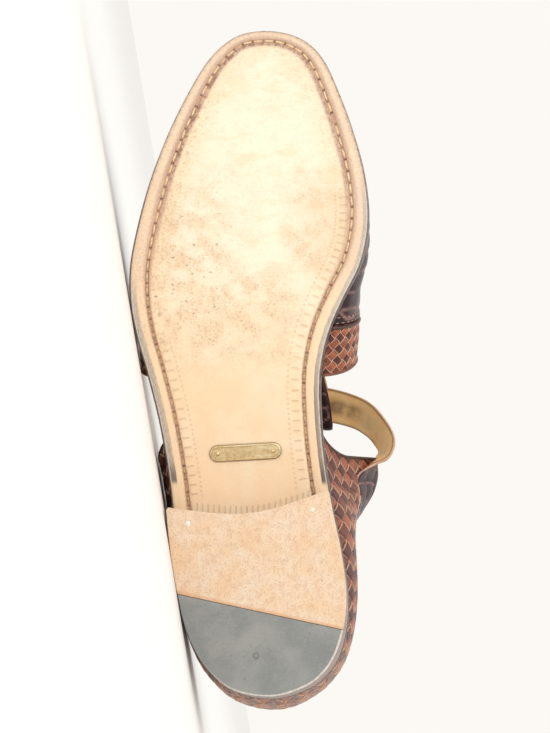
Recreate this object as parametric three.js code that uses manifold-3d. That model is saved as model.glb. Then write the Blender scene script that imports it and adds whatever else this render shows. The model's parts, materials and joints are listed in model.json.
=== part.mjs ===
// Woven leather sandal for the right foot, lying on its outer side. Millimetres, +Z up.
// The shoe is drawn standing: x from heel to toe, y towards the inner side of the foot,
// z up from the floor. At the end it is laid on the side that carries its weight.
import * as THREE from 'three';
import { ConvexHull } from 'three/addons/math/ConvexHull.js';
import Module from 'manifold-3d';

const wasm = await Module();
wasm.setup();

// Driving dimensions
const soleLength = 305;
const heelBackX = -2.5;
const tipY = 2.5;
const toeY = -2.5;
const soleThickness = 5;
const soleEdgeRound = 0.7;
const heelHeight = 24;
const seatSlope = 0.03;
const breastX = 90;
const treadBackX = 178;
const treadFrontX = 216;
const toeSpring = 9;
const seam = 0.3;
const liftThickness = 6;
const insoleThickness = 2.5;
const wallThickness = 2.4;
const strapHalfWidth = 9;
const strapOutside = 1.4;
const strapInside = 1.2;
const weaveRelief = 0.9;
const panelStep = 0.7;
const collarStep = 0.9;

// Sole outline, one row for each cross section from heel to toe
const soleRows = [
  { x: 0.3, medial: 15.6, lateral: -13 },
  { x: 5, medial: 24.5, lateral: -20.2 },
  { x: 14.2, medial: 32.3, lateral: -28.2 },
  { x: 28, medial: 36.7, lateral: -34.4 },
  { x: 44, medial: 37.5, lateral: -37.9 },
  { x: 64, medial: 34.6, lateral: -41.2 },
  { x: 84, medial: 30.3, lateral: -43.5 },
  { x: 104, medial: 27.2, lateral: -46.2 },
  { x: 124, medial: 25.4, lateral: -49.6 },
  { x: 143, medial: 25.4, lateral: -54 },
  { x: 160, medial: 29, lateral: -58.7 },
  { x: 175, medial: 35.3, lateral: -61.4 },
  { x: 192, medial: 43.4, lateral: -61.7 },
  { x: 211, medial: 46.9, lateral: -58.5 },
  { x: 232, medial: 45.2, lateral: -53.2 },
  { x: 254, medial: 39.6, lateral: -45.6 },
  { x: 275, medial: 32.2, lateral: -36.4 },
  { x: 290, medial: 25.4, lateral: -28.2 },
  { x: 299, medial: 17.4, lateral: -20.2 },
  { x: 303.5, medial: 8.2, lateral: -12.5 },
];

// How far the heel draws in from the sole's edge down to the floor
const taperRows = [
  { x: heelBackX, taper: 2.5 },
  { x: 14, taper: 1.9 },
  { x: 44, taper: 0.4 },
  { x: 64, taper: 0 },
  { x: 100, taper: 0 },
];

// How far the upper's foot stands in from the sole's edge
const insetRows = [
  { x: heelBackX, inset: 1.6 },
  { x: 100, inset: 1.6 },
  { x: 140, inset: 2 },
  { x: 180, inset: 4.2 },
  { x: soleLength, inset: 5 },
];

// Forepart of the last: the ridge above each point of the sole, and how far the sides swell
const vampRows = [
  { x: 143, ridgeX: 178, ridgeY: 4, ridgeZ: 74, medialSwell: 18, lateralSwell: 7.8 },
  { x: 152, ridgeX: 183, ridgeY: 3.2, ridgeZ: 71.5, medialSwell: 18, lateralSwell: 6.2 },
  { x: 160, ridgeX: 188, ridgeY: 2.5, ridgeZ: 69.5, medialSwell: 17, lateralSwell: 4.4 },
  { x: 175, ridgeX: 196, ridgeY: 1, ridgeZ: 66, medialSwell: 12, lateralSwell: 3 },
  { x: 190, ridgeX: 205, ridgeY: -1, ridgeZ: 62, medialSwell: 7.5, lateralSwell: 3 },
  { x: 225, ridgeX: 226, ridgeY: -3, ridgeZ: 53.5, medialSwell: 4, lateralSwell: 3.5 },
  { x: 260, ridgeX: 246, ridgeY: -3.5, ridgeZ: 46, medialSwell: 4, lateralSwell: 4 },
  { x: 285, ridgeX: 257, ridgeY: -3.5, ridgeZ: 42.8, medialSwell: 4.5, lateralSwell: 4.5 },
  { x: soleLength, ridgeX: 261, ridgeY: -3.5, ridgeZ: 42.4, medialSwell: 4.5, lateralSwell: 4.5 },
];
const medialSwellRise = 0.5;
const lateralSwellRise = 0.46;
const leanPower = 1.5;
const vampBackX = 143;
const weaveFrontX = 164;

// Quarter of the last, from its inner front edge (around 0) by the heel (0.5) to its outer one (1)
const quarterRows = [
  { around: 0, height: 52, swell: 0, topOut: 25, lean: -10 },
  { around: 0.06, height: 49, swell: 1, topOut: 23, lean: -7 },
  { around: 0.1, height: 47, swell: 4, topOut: 17, lean: -4 },
  { around: 0.15, height: 45.5, swell: 6, topOut: 8, lean: -1 },
  { around: 0.2, height: 45, swell: 5.6, topOut: 3, lean: 0 },
  { around: 0.3, height: 47, swell: 3.6, topOut: 0.5, lean: 0 },
  { around: 0.4, height: 54, swell: 3.8, topOut: 0, lean: 0 },
  { around: 0.5, height: 60, swell: 6.8, topOut: 0.5, lean: 0 },
  { around: 0.6, height: 55, swell: 5.4, topOut: 1, lean: 0 },
  { around: 0.7, height: 47, swell: 4.7, topOut: 1, lean: 0 },
  { around: 0.8, height: 45, swell: 4, topOut: 2, lean: 0 },
  { around: 0.9, height: 46, swell: 4.6, topOut: 3, lean: -4 },
  { around: 1, height: 48, swell: 5, topOut: 2, lean: -8 },
];
const quarterSwellRise = 0.7;
const topOutPower = 1.3;
const quarterMedialX = 118.5;
const quarterLateralX = 114;

// Ankle strap between the two front corners of the quarter: centre, and direction across it
const ankleRows = [
  { x: 108.8, y: 48, z: 71.5, acrossX: 0.26, acrossY: 0.1, acrossZ: 0.96 },
  { x: 112.5, y: 52.6, z: 75, acrossX: 0.2, acrossY: -0.27, acrossZ: 0.94 },
  { x: 119, y: 53, z: 79.5, acrossX: -0.07, acrossY: -0.54, acrossZ: 0.84 },
  { x: 127.4, y: 48.2, z: 87, acrossX: -0.43, acrossY: -0.47, acrossZ: 0.77 },
  { x: 134.7, y: 39.4, z: 93.2, acrossX: -0.71, acrossY: -0.37, acrossZ: 0.6 },
  { x: 140.5, y: 16, z: 97.5, acrossX: -0.92, acrossY: 0, acrossZ: 0.39 },
  { x: 138.5, y: -6, z: 97, acrossX: -0.9, acrossY: 0.12, acrossZ: 0.42 },
  { x: 131.5, y: -27, z: 91, acrossX: -0.78, acrossY: 0.35, acrossZ: 0.52 },
  { x: 120, y: -42, z: 81, acrossX: -0.45, acrossY: 0.3, acrossZ: 0.84 },
  { x: 110.5, y: -47, z: 72.5, acrossX: -0.05, acrossY: 0, acrossZ: 1 },
];

// Where the strap lies on the quarter: place around it, and the height share of its lower edge
const strapSeatRows = [
  { around: 0.12, low: 0.86 },
  { around: 0.07, low: 0.74 },
  { around: 0.02, low: 0.7 },
];
const strapSeatTop = 1.02;

// Centre strap from the forepart back to its loop round the ankle strap
const centreRows = [
  { x: 197, y: 0.5, z: 65.6, half: 10, above: 2.2, below: 0.8 },
  { x: 186, y: 2.5, z: 70.4, half: 10, above: 2.2, below: 0.8 },
  { x: 174, y: 6, z: 77, half: 10, above: 1.4, below: 1.1 },
  { x: 158.5, y: 11.5, z: 88.2, half: 10, above: 1.1, below: 1.2 },
  { x: 156, y: 12.3, z: 89.8, half: 10, above: 2.6, below: 3.4 },
  { x: 140.5, y: 15.8, z: 97.5, half: 10, above: 3.5, below: 3.5 },
  { x: 130, y: 16.8, z: 102, half: 10, above: 3.3, below: 3.3 },
  { x: 127.5, y: 17, z: 103, half: 9.6, above: 1.6, below: 1.6 },
];

// Heel breast, nails and waist plate
const breastRows = [
  { y: -46, x: 82.5 },
  { y: -17, x: 79.5 },
  { y: 1, x: 81 },
  { y: 33, x: 91.5 },
];
const tipLine = { lateral: { x: 43.7, y: -36.2 }, medial: { x: 29, y: 36.3 } };
const nails = [
  { name: 'heel_nail_outer', x: 75, y: -33.5, radius: 1.3 },
  { name: 'heel_nail_inner', x: 81.4, y: 22, radius: 1.1 },
];
const nailLength = 4;
const roundSegments = 16;
const plaque = { x: 108.5, y: -9.6, length: 33, width: 7.6, thickness: 1, turn: 0.06 };
const pinRadius = 1;
const pinDome = 0.7;
const pinSteps = 5;

// A smooth curve through one column of a table
function smoothColumn(rows, input, column) {
  const slopes = rows.map((row, i) => {
    const before = rows[Math.max(i - 1, 0)];
    const after = rows[Math.min(i + 1, rows.length - 1)];
    return (after[column] - before[column]) / (after[input] - before[input]);
  });
  return (value) => {
    const last = rows.length - 2;
    const found = rows.findIndex((row) => row[input] > value) - 1;
    const i = found === -2 ? last : Math.max(found, 0);
    const span = rows[i + 1][input] - rows[i][input];
    const u = THREE.MathUtils.clamp((value - rows[i][input]) / span, 0, 1);
    const rise = u * u * (3 - 2 * u);
    const startPull = u * (1 - u) * (1 - u) * span * slopes[i];
    const endPull = u * u * (u - 1) * span * slopes[i + 1];
    return rows[i][column] * (1 - rise) + rows[i + 1][column] * rise + startPull + endPull;
  };
}

// Underside of the outsole: level heel seat, arch, flat tread, toe spring
function underside(x) {
  const seatEnd = heelHeight - seatSlope * breastX;
  if (x <= breastX) return heelHeight - seatSlope * x;
  if (x <= treadBackX) {
    const u = (x - breastX) / (treadBackX - breastX);
    const pull = u * (1 - u) * (1 - u) * (treadBackX - breastX) * -seatSlope;
    return seatEnd * (1 - u * u * (3 - 2 * u)) + pull;
  }
  if (x <= treadFrontX) return 0;
  return toeSpring * ((x - treadFrontX) / (soleLength - treadFrontX)) ** 2;
}

const soleTop = (x) => underside(x) + soleThickness;

// Sole outline by an angle that crowds the sections at heel and toe
const soleSpan = soleLength - heelBackX;
const angleAt = (x) => Math.acos(1 - (2 * (x - heelBackX)) / soleSpan);
const angleRows = [
  { angle: 0, medial: tipY, lateral: tipY },
  ...soleRows.map((row) => ({ angle: angleAt(row.x), medial: row.medial, lateral: row.lateral })),
  { angle: Math.PI, medial: toeY, lateral: toeY },
];
const medialEdge = smoothColumn(angleRows, 'angle', 'medial');
const lateralEdge = smoothColumn(angleRows, 'angle', 'lateral');

// The outline as a ring: heel tip, inner side, toe tip, outer side. Each point keeps its outward direction.
function soleRing(steps, insetAt) {
  const ring = [];
  for (let i = 0; i < 2 * steps; i += 1) {
    const angle = (Math.PI * Math.min(i, 2 * steps - i)) / steps;
    const x = heelBackX + (soleSpan * (1 - Math.cos(angle))) / 2;
    const y = i <= steps ? medialEdge(angle) : lateralEdge(angle);
    ring.push(new THREE.Vector2(x, y));
  }
  return ring.map((point, i) => {
    const before = ring[(i + 2 * steps - 1) % (2 * steps)];
    const after = ring[(i + 1) % (2 * steps)];
    const along = after.clone().sub(before).normalize();
    const outward = new THREE.Vector2(-along.y, along.x);
    const moved = point.clone().addScaledVector(outward, -insetAt(point.x));
    return { x: moved.x, y: moved.y, outward };
  });
}

// A closed mesh from points and triangles, turned so that its faces point out
function closedMesh(points, triangles) {
  let volume = 0;
  for (const [a, b, c] of triangles) {
    volume += points[a].dot(points[b].clone().cross(points[c]));
  }
  const indices = volume < 0 ? triangles.map(([a, b, c]) => [a, c, b]) : triangles;
  const geometry = new THREE.BufferGeometry();
  geometry.setAttribute('position', new THREE.Float32BufferAttribute(points.flatMap((p) => p.toArray()), 3));
  geometry.setIndex(indices.flat());
  return geometry;
}

// Rings stacked into a solid, with the first and last closed by a cap that turns the way the ring does
function stackRings(rings, cap) {
  const count = rings[0].length;
  const triangles = [];
  for (let level = 0; level + 1 < rings.length; level += 1) {
    for (let i = 0; i < count; i += 1) {
      const a = level * count + i;
      const b = level * count + ((i + 1) % count);
      triangles.push([a, b, b + count], [a, b + count, a + count]);
    }
  }
  const ringTurn = Math.sign(THREE.ShapeUtils.area(rings[0]));
  const topStart = (rings.length - 1) * count;
  for (const corners of cap) {
    const turn = Math.sign(THREE.ShapeUtils.area(corners.map((k) => rings[0][k])));
    const [a, b, c] = turn === ringTurn ? corners : [...corners].reverse();
    triangles.push([a, c, b], [a + topStart, b + topStart, c + topStart]);
  }
  return closedMesh(rings.flat(), triangles);
}

// Cap of a sole ring: rungs from the inner side straight across to the outer side
function rungCap(steps) {
  const cap = [];
  const count = 2 * steps;
  for (let i = 0; i < steps; i += 1) {
    const across = (count - i) % count;
    const ahead = count - i - 1;
    if (ahead !== i + 1) cap.push([i, i + 1, ahead]);
    if (across !== i) cap.push([i, ahead, across]);
  }
  return cap;
}

function fromManifold(solid) {
  const mesh = solid.getMesh();
  const geometry = new THREE.BufferGeometry();
  geometry.setAttribute('position', new THREE.BufferAttribute(mesh.vertProperties, 3));
  geometry.setIndex(new THREE.BufferAttribute(mesh.triVerts, 1));
  return geometry;
}

function toManifold(geometry) {
  const vertProperties = new Float32Array(geometry.attributes.position.array);
  const triVerts = new Uint32Array(geometry.index.array);
  return new wasm.Manifold(new wasm.Mesh({ numProp: 3, vertProperties, triVerts }));
}

// Outsole and insole
const soleSteps = 60;

function layer(levels) {
  const rings = levels.map(({ insetAt, heightAt }) => (
    soleRing(soleSteps, insetAt).map((p) => new THREE.Vector3(p.x, p.y, heightAt(p.x)))
  ));
  return stackRings(rings, rungCap(soleSteps));
}

const atEdge = () => 0;
const atRound = () => soleEdgeRound;
const outsole = layer([
  { insetAt: atRound, heightAt: underside },
  { insetAt: atEdge, heightAt: (x) => underside(x) + soleEdgeRound },
  { insetAt: atEdge, heightAt: (x) => soleTop(x) - soleEdgeRound },
  { insetAt: atRound, heightAt: soleTop },
]);

const upperInset = smoothColumn(insetRows, 'x', 'inset');
const insoleInset = (x) => upperInset(x) + wallThickness + 2 * seam;
const insole = layer([
  { insetAt: insoleInset, heightAt: (x) => soleTop(x) + seam },
  { insetAt: insoleInset, heightAt: (x) => soleTop(x) + seam + insoleThickness },
]);

// Heel: stacked block, then a last layer of leather in front and rubber behind
const breastCurve = smoothColumn(breastRows, 'y', 'x');

const breastSteps = 10;
const cornerSetback = 0.8;
const heelTaper = smoothColumn(taperRows, 'x', 'taper');
const behindBreast = soleRing(soleSteps, heelTaper).map((p) => p.x < breastCurve(p.y) - 1);

function heelRing(insetAt, heightAt) {
  const ring = soleRing(soleSteps, insetAt);
  const medial = ring.filter((p, i) => i < soleSteps && behindBreast[i]);
  const lateral = ring.filter((p, i) => i > soleSteps && behindBreast[i]);
  const start = medial[medial.length - 1].y - cornerSetback;
  const end = lateral[0].y + cornerSetback;
  const breast = [];
  for (let i = 0; i <= breastSteps; i += 1) {
    const y = THREE.MathUtils.lerp(start, end, i / breastSteps);
    breast.push({ x: breastCurve(y), y });
  }
  return [...medial, ...breast, ...lateral].map((p) => new THREE.Vector3(p.x, p.y, heightAt(p.x)));
}

function heelLayer(low, high) {
  const rings = [low, high].map(({ insetAt, heightAt }) => heelRing(insetAt, heightAt));
  const flat = rings[0].map((p) => new THREE.Vector2(p.x, p.y));
  return stackRings(rings, THREE.ShapeUtils.triangulateShape(flat, []));
}

const liftInset = (x) => heelTaper(x) * (1 - liftThickness / heelHeight);
const heelStack = heelLayer(
  { insetAt: liftInset, heightAt: () => liftThickness + seam },
  { insetAt: () => soleEdgeRound / 2, heightAt: (x) => underside(x) - seam },
);
const heelLift = toManifold(heelLayer(
  { insetAt: heelTaper, heightAt: () => 0 },
  { insetAt: liftInset, heightAt: () => liftThickness },
));

// A block that covers everything behind the slanted line across the heel
function rearBlock(gap) {
  const depth = 80;
  const across = 200;
  const dx = tipLine.medial.x - tipLine.lateral.x;
  const dy = tipLine.medial.y - tipLine.lateral.y;
  const block = new THREE.BoxGeometry(depth, across, 3 * liftThickness);
  block.deleteAttribute('normal');
  block.deleteAttribute('uv');
  block.translate(-depth / 2 + gap, 0, 0);
  block.rotateZ(-Math.atan2(dx, dy));
  block.translate((tipLine.medial.x + tipLine.lateral.x) / 2, (tipLine.medial.y + tipLine.lateral.y) / 2, 0);
  return toManifold(merged(block));
}

// Shared corners of a closed mesh joined by place
const mergeGrid = 10000;

function merged(geometry) {
  const places = new Map();
  const points = [];
  const position = geometry.attributes.position;
  const indexOf = (i) => {
    const point = new THREE.Vector3().fromBufferAttribute(position, i);
    const key = point.toArray().map((value) => Math.round(value * mergeGrid)).join(' ');
    if (!places.has(key)) {
      places.set(key, points.length);
      points.push(point);
    }
    return places.get(key);
  };
  const source = geometry.index ? [...geometry.index.array] : [...Array(position.count).keys()];
  const joined = source.map(indexOf);
  const triangles = [];
  for (let i = 0; i < joined.length; i += 3) {
    const triangle = joined.slice(i, i + 3);
    if (new Set(triangle).size === 3) triangles.push(triangle);
  }
  return closedMesh(points, triangles);
}

function standingCylinder(radius, height, x, y, bottom) {
  const cylinder = new THREE.CylinderGeometry(radius, radius, height, roundSegments);
  cylinder.rotateX(Math.PI / 2);
  cylinder.translate(x, y, bottom + height / 2);
  return merged(cylinder);
}

const heelTip = heelLift.intersect(rearBlock(0));
let liftLeather = heelLift.subtract(rearBlock(seam));
for (const nail of nails) {
  const socket = standingCylinder(nail.radius + seam, nailLength + 1 + seam, nail.x, nail.y, -1);
  liftLeather = liftLeather.subtract(toManifold(socket));
}

// A wall from a grid of points: rows run along it, columns up it. raise gives the height of its outer
// face at a grid point. foot(p, q) sets the inner edge of the first and last column on the floor below.
function wall(grid, { raise, inside, joinEnd, foot }) {
  const rows = grid.length;
  const columns = grid[0].length;
  const place = (i, j) => {
    const folded = joinEnd && i === rows - 1 && j > (columns - 1) / 2;
    return i * columns + (folded ? columns - 1 - j : j);
  };
  const face = [];
  for (let i = 0; i + 1 < rows; i += 1) {
    for (let j = 0; j + 1 < columns; j += 1) {
      const [a, b, c, d] = [place(i, j), place(i + 1, j), place(i + 1, j + 1), place(i, j + 1)];
      if ((i + j) % 2 === 0) face.push([a, b, c], [a, c, d]);
      else face.push([a, b, d], [b, c, d]);
    }
  }
  const clean = face.filter(([a, b, c]) => a !== b && b !== c && a !== c);
  const points = grid.flat();
  const sheet = new THREE.BufferGeometry();
  sheet.setAttribute('position', new THREE.Float32BufferAttribute(points.flatMap((p) => p.toArray()), 3));
  sheet.setIndex(clean.flat());
  sheet.computeVertexNormals();
  const normalAt = (k) => new THREE.Vector3().fromBufferAttribute(sheet.attributes.normal, k);
  const outer = points.map((p, k) => {
    const lift = raise(Math.floor(k / columns), k % columns);
    return p.clone().addScaledVector(normalAt(k), lift);
  });
  const inner = points.map((p, k) => {
    const depth = inside(Math.floor(k / columns), k % columns);
    return p.clone().addScaledVector(normalAt(k), -depth);
  });
  if (foot) foot(outer, inner, normalAt, columns);
  const count = points.length;
  const triangles = [...clean, ...clean.map(([a, b, c]) => [a + count, c + count, b + count])];
  const edge = (a, b) => triangles.push([a, a + count, b + count], [a, b + count, b]);
  for (let i = 0; i + 1 < rows; i += 1) {
    edge(place(i, 0), place(i + 1, 0));
    edge(place(i + 1, columns - 1), place(i, columns - 1));
  }
  for (let j = 0; j + 1 < columns; j += 1) {
    edge(place(0, j + 1), place(0, j));
    if (!joinEnd) edge(place(rows - 1, j), place(rows - 1, j + 1));
  }
  return toManifold(merged(trimmed([...outer, ...inner], triangles)));
}

function trimmed(points, triangles) {
  const geometry = new THREE.BufferGeometry();
  geometry.setAttribute('position', new THREE.Float32BufferAttribute(points.flatMap((p) => p.toArray()), 3));
  geometry.setIndex(triangles.flat());
  return geometry;
}

// Diamond pillows of a diagonal weave: every second grid point stands up
const pillow = (i, j) => ((i + j) % 2 === 1 ? weaveRelief : 0);

// Foot of a wall: both faces end level on the outsole
function footOn(columnsAtFoot) {
  return (outer, inner, normalAt, columns) => {
    for (let k = 0; k < outer.length; k += 1) {
      if (!columnsAtFoot(k % columns, columns)) continue;
      const flat = normalAt(k).setZ(0).normalize();
      inner[k].copy(outer[k]).addScaledVector(flat, -wallThickness);
      outer[k].z = soleTop(outer[k].x) + seam;
      inner[k].z = soleTop(inner[k].x) + seam;
    }
  };
}

// Forepart of the upper: from the outer foot over the ridge to the inner foot, from the throat to the toe
const vampColumn = (name) => smoothColumn(vampRows, 'x', name);
const ridgeX = vampColumn('ridgeX');
const ridgeY = vampColumn('ridgeY');
const ridgeZ = vampColumn('ridgeZ');
const medialSwell = vampColumn('medialSwell');
const lateralSwell = vampColumn('lateralSwell');
const toeRoundStart = 200;
const toeRoundEnd = 290;

function vampPoint(foot, side, climb) {
  const turn = (climb * Math.PI) / 2;
  const round = THREE.MathUtils.smoothstep(foot.x, toeRoundStart, toeRoundEnd);
  const keepX = THREE.MathUtils.lerp((1 - climb) ** leanPower, Math.cos(turn), round);
  const swell = side > 0 ? medialSwell(foot.x) : lateralSwell(foot.x);
  const rise = side > 0 ? medialSwellRise : lateralSwellRise;
  const out = swell * Math.sin(Math.PI * climb ** rise);
  const bottom = soleTop(foot.x) + seam;
  const x = ridgeX(foot.x) + (foot.x - ridgeX(foot.x)) * keepX + foot.outward.x * out * round;
  const outY = THREE.MathUtils.lerp(side, foot.outward.y, round);
  const y = ridgeY(foot.x) + (foot.y - ridgeY(foot.x)) * Math.cos(turn) + outY * out;
  const z = bottom + (ridgeZ(foot.x) - bottom) * Math.sin(turn);
  return new THREE.Vector3(x, y, z);
}

// Foot of the upper at chosen places along one side of the sole
const footSteps = 600;
const footRing = soleRing(footSteps, upperInset);

function footAt(x, side) {
  const places = side === 'medial'
    ? footRing.slice(0, footSteps + 1)
    : [footRing[0], ...footRing.slice(footSteps).reverse()];
  const after = Math.max(places.findIndex((p) => p.x >= x), 1);
  const [a, b] = [places[after - 1], places[after]];
  const u = THREE.MathUtils.clamp((x - a.x) / (b.x - a.x), 0, 1);
  const outward = a.outward.clone().lerp(b.outward, u).normalize();
  return { x, y: THREE.MathUtils.lerp(a.y, b.y, u), outward };
}

const toeFoot = footRing[footSteps];
const weaveColumns = 5;
const foreColumns = 14;
const climbSteps = 20;

function vampStations() {
  const stations = [];
  for (let i = 0; i <= weaveColumns; i += 1) {
    stations.push(THREE.MathUtils.lerp(vampBackX, weaveFrontX, i / weaveColumns));
  }
  for (let i = 1; i < foreColumns; i += 1) {
    const u = Math.sin((Math.PI / 2) * (i / foreColumns));
    stations.push(THREE.MathUtils.lerp(weaveFrontX, toeFoot.x, u));
  }
  return stations;
}

function vampGrid() {
  const climbs = [...Array(climbSteps + 1).keys()].map((j) => j / climbSteps);
  const rows = vampStations().map((x) => {
    const medial = climbs.map((c) => vampPoint(footAt(x, 'medial'), 1, c));
    const lateral = climbs.map((c) => vampPoint(footAt(x, 'lateral'), -1, c));
    return [...lateral, ...medial.reverse().slice(1)];
  });
  const toe = climbs.map((c) => vampPoint(toeFoot, 1, c));
  rows.push([...toe, ...toe.map((p) => p.clone()).reverse().slice(1)]);
  return rows;
}

const vamp = wall(vampGrid(), {
  raise: (i, j) => (i > weaveColumns ? panelStep : pillow(i, j)),
  inside: () => wallThickness,
  joinEnd: true,
  foot: footOn((j, columns) => j === 0 || j === columns - 1),
});

// Quarter of the upper: from the inner front edge round the heel to the outer front edge
const quarterColumn = (name) => smoothColumn(quarterRows, 'around', name);
const quarterHeight = quarterColumn('height');
const quarterSwell = quarterColumn('swell');
const quarterTopOut = quarterColumn('topOut');
const quarterLean = quarterColumn('lean');
const weaveStep = 4;
const quarterRowsUp = 13;
const collarRow = 10;
const leanEnd = 0.6;

function quarterPath() {
  const medial = footRing.slice(0, footSteps).filter((p) => p.x < quarterMedialX).reverse();
  const lateral = footRing.slice(footSteps + 1).filter((p) => p.x < quarterLateralX).reverse();
  const path = [...medial, ...lateral];
  const lengths = [0];
  for (let i = 1; i < path.length; i += 1) {
    lengths.push(lengths[i - 1] + Math.hypot(path[i].x - path[i - 1].x, path[i].y - path[i - 1].y));
  }
  return { path, lengths, total: lengths[lengths.length - 1] };
}

const quarterFoot = quarterPath();

function quarterPoint(around, up) {
  const { path, lengths, total } = quarterFoot;
  const target = THREE.MathUtils.clamp(around, 0, 1) * total;
  const after = Math.max(lengths.findIndex((length) => length >= target - 1e-6), 1);
  const u = (target - lengths[after - 1]) / (lengths[after] - lengths[after - 1]);
  const [a, b] = [path[after - 1], path[after]];
  const outward = a.outward.clone().lerp(b.outward, u).normalize();
  const footX = THREE.MathUtils.lerp(a.x, b.x, u);
  const footY = THREE.MathUtils.lerp(a.y, b.y, u);
  const swell = quarterSwell(around) * Math.sin(Math.PI * Math.min(up, 1) ** quarterSwellRise);
  const out = swell + quarterTopOut(around) * up ** topOutPower;
  const lean = quarterLean(around) * Math.sin(Math.min(up / leanEnd, 1) * (Math.PI / 2));
  const x = footX + outward.x * out + lean;
  const y = footY + outward.y * out;
  return new THREE.Vector3(x, y, soleTop(footX) + seam + quarterHeight(around) * up);
}

const quarterSteps = Math.round(quarterFoot.total / weaveStep);

function quarterGrid() {
  const grid = [];
  for (let i = 0; i <= quarterSteps; i += 1) {
    const row = [];
    for (let j = 0; j <= quarterRowsUp; j += 1) {
      row.push(quarterPoint(i / quarterSteps, j / quarterRowsUp));
    }
    grid.push(row);
  }
  return grid;
}

const quarter = wall(quarterGrid(), {
  raise: (i, j) => (j >= collarRow ? collarStep : pillow(i, j)),
  inside: () => wallThickness,
  foot: footOn((j) => j === 0),
});

// Ankle strap: a band between two edge curves that start and end on the quarter
function ankleEdge(side) {
  const seat = (row, mirror) => {
    const around = mirror ? 1 - row.around : row.around;
    return quarterPoint(around, side < 0 ? row.low : strapSeatTop);
  };
  const free = ankleRows.map((row) => {
    const across = new THREE.Vector3(row.acrossX, row.acrossY, row.acrossZ).normalize();
    return new THREE.Vector3(row.x, row.y, row.z).addScaledVector(across, side * strapHalfWidth);
  });
  const start = strapSeatRows.map((row) => seat(row, false));
  const end = strapSeatRows.map((row) => seat(row, true)).reverse();
  return new THREE.CatmullRomCurve3([...start, ...free, ...end], false, 'centripetal');
}

const ankleSteps = 48;

function ankleGrid() {
  const low = ankleEdge(-1);
  const high = ankleEdge(1);
  const grid = [];
  for (let i = 0; i <= ankleSteps; i += 1) {
    const a = low.getPoint(i / ankleSteps);
    const b = high.getPoint(i / ankleSteps);
    grid.push([a, a.clone().lerp(b, 0.5), b]);
  }
  return grid.reverse();
}

const ankleStrap = wall(ankleGrid(), { raise: () => strapOutside, inside: () => strapInside });

// Centre strap, thick where it folds round the ankle strap
const centreSteps = 30;

function centreGrid() {
  const column = (name) => smoothColumn(centreRows.map((row) => ({ ...row, back: -row.x })), 'back', name);
  const [yAt, zAt, halfAt] = [column('y'), column('z'), column('half')];
  const grid = [];
  for (let i = 0; i <= centreSteps; i += 1) {
    const x = THREE.MathUtils.lerp(centreRows[0].x, centreRows[centreRows.length - 1].x, i / centreSteps);
    const half = halfAt(-x);
    grid.push([1, 0, -1].map((side) => new THREE.Vector3(x, yAt(-x) + side * half, zAt(-x))));
  }
  return { grid, above: column('above'), below: column('below') };
}

const centre = centreGrid();
const centreX = (i) => centre.grid[i][0].x;
const centreStrap = wall(centre.grid, {
  raise: (i) => centre.above(-centreX(i)),
  inside: (i) => centre.below(-centreX(i)),
});

const upper = vamp.add(quarter).add(ankleStrap).add(centreStrap);

// Brass plate under the arch, with a pin at each end, on the slope of the sole there
function plaqueSolid() {
  const half = plaque.length / 2 - plaque.width / 2;
  const shape = new THREE.Shape();
  shape.absarc(half, 0, plaque.width / 2, -Math.PI / 2, Math.PI / 2);
  shape.absarc(-half, 0, plaque.width / 2, Math.PI / 2, (3 * Math.PI) / 2);
  const plate = new THREE.ExtrudeGeometry(shape, { depth: plaque.thickness, bevelEnabled: false, curveSegments: 10 });
  plate.rotateZ(Math.PI / 2);
  plate.translate(0, 0, -plaque.thickness);
  return merged(plate);
}

function pinSolid() {
  const profile = [];
  for (let i = 0; i <= pinSteps; i += 1) {
    const turn = (Math.PI / 2) * (i / pinSteps);
    profile.push(new THREE.Vector2(pinRadius * Math.sin(turn), -pinDome * Math.cos(turn)));
  }
  profile.push(new THREE.Vector2(0, 0));
  const pin = new THREE.LatheGeometry(profile, roundSegments);
  pin.rotateX(Math.PI / 2);
  return merged(pin);
}

// Named pieces
const looks = {
  soleLeather: { color: 0xf0d2ae, roughness: 0.7, metalness: 0 },
  insoleLeather: { color: 0xc79a62, roughness: 0.6, metalness: 0 },
  heelLeather: { color: 0x5b4a46, roughness: 0.5, metalness: 0 },
  rubber: { color: 0x6f716f, roughness: 0.8, metalness: 0 },
  upperLeather: { color: 0x8a4a2e, roughness: 0.45, metalness: 0 },
  brass: { color: 0xb59a5a, roughness: 0.35, metalness: 1 },
  steel: { color: 0xc4c6c8, roughness: 0.3, metalness: 1 },
};

const shoe = new THREE.Group();

function addPiece(name, geometry, look, parent = shoe) {
  const mesh = new THREE.Mesh(geometry, new THREE.MeshStandardMaterial(looks[look]));
  mesh.name = name;
  parent.add(mesh);
  return mesh;
}

addPiece('outsole', outsole, 'soleLeather');
addPiece('insole', insole, 'insoleLeather');
addPiece('heel_stack', heelStack, 'heelLeather');
addPiece('heel_lift_leather', fromManifold(liftLeather), 'soleLeather');
addPiece('heel_tip_rubber', fromManifold(heelTip), 'rubber');
addPiece('upper', fromManifold(upper), 'upperLeather');
for (const nail of nails) {
  addPiece(nail.name, standingCylinder(nail.radius, nailLength, nail.x, nail.y, 0), 'steel');
}

const plateSlope = (underside(plaque.x + 1) - underside(plaque.x - 1)) / 2;
const plateGroup = new THREE.Group();
plateGroup.position.set(plaque.x, plaque.y, underside(plaque.x) - 2 * seam);
plateGroup.rotation.set(0, -Math.atan(plateSlope), -plaque.turn, 'YZX');
shoe.add(plateGroup);
addPiece('waist_plaque', plaqueSolid(), 'brass', plateGroup);
const pinPlaces = [{ name: 'plaque_pin_outer', side: -1 }, { name: 'plaque_pin_inner', side: 1 }];
for (const { name, side } of pinPlaces) {
  const pin = addPiece(name, pinSolid(), 'brass', plateGroup);
  pin.position.set(0, side * (plaque.length / 2 - plaque.width / 2), -plaque.thickness - seam / 2);
}

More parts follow.
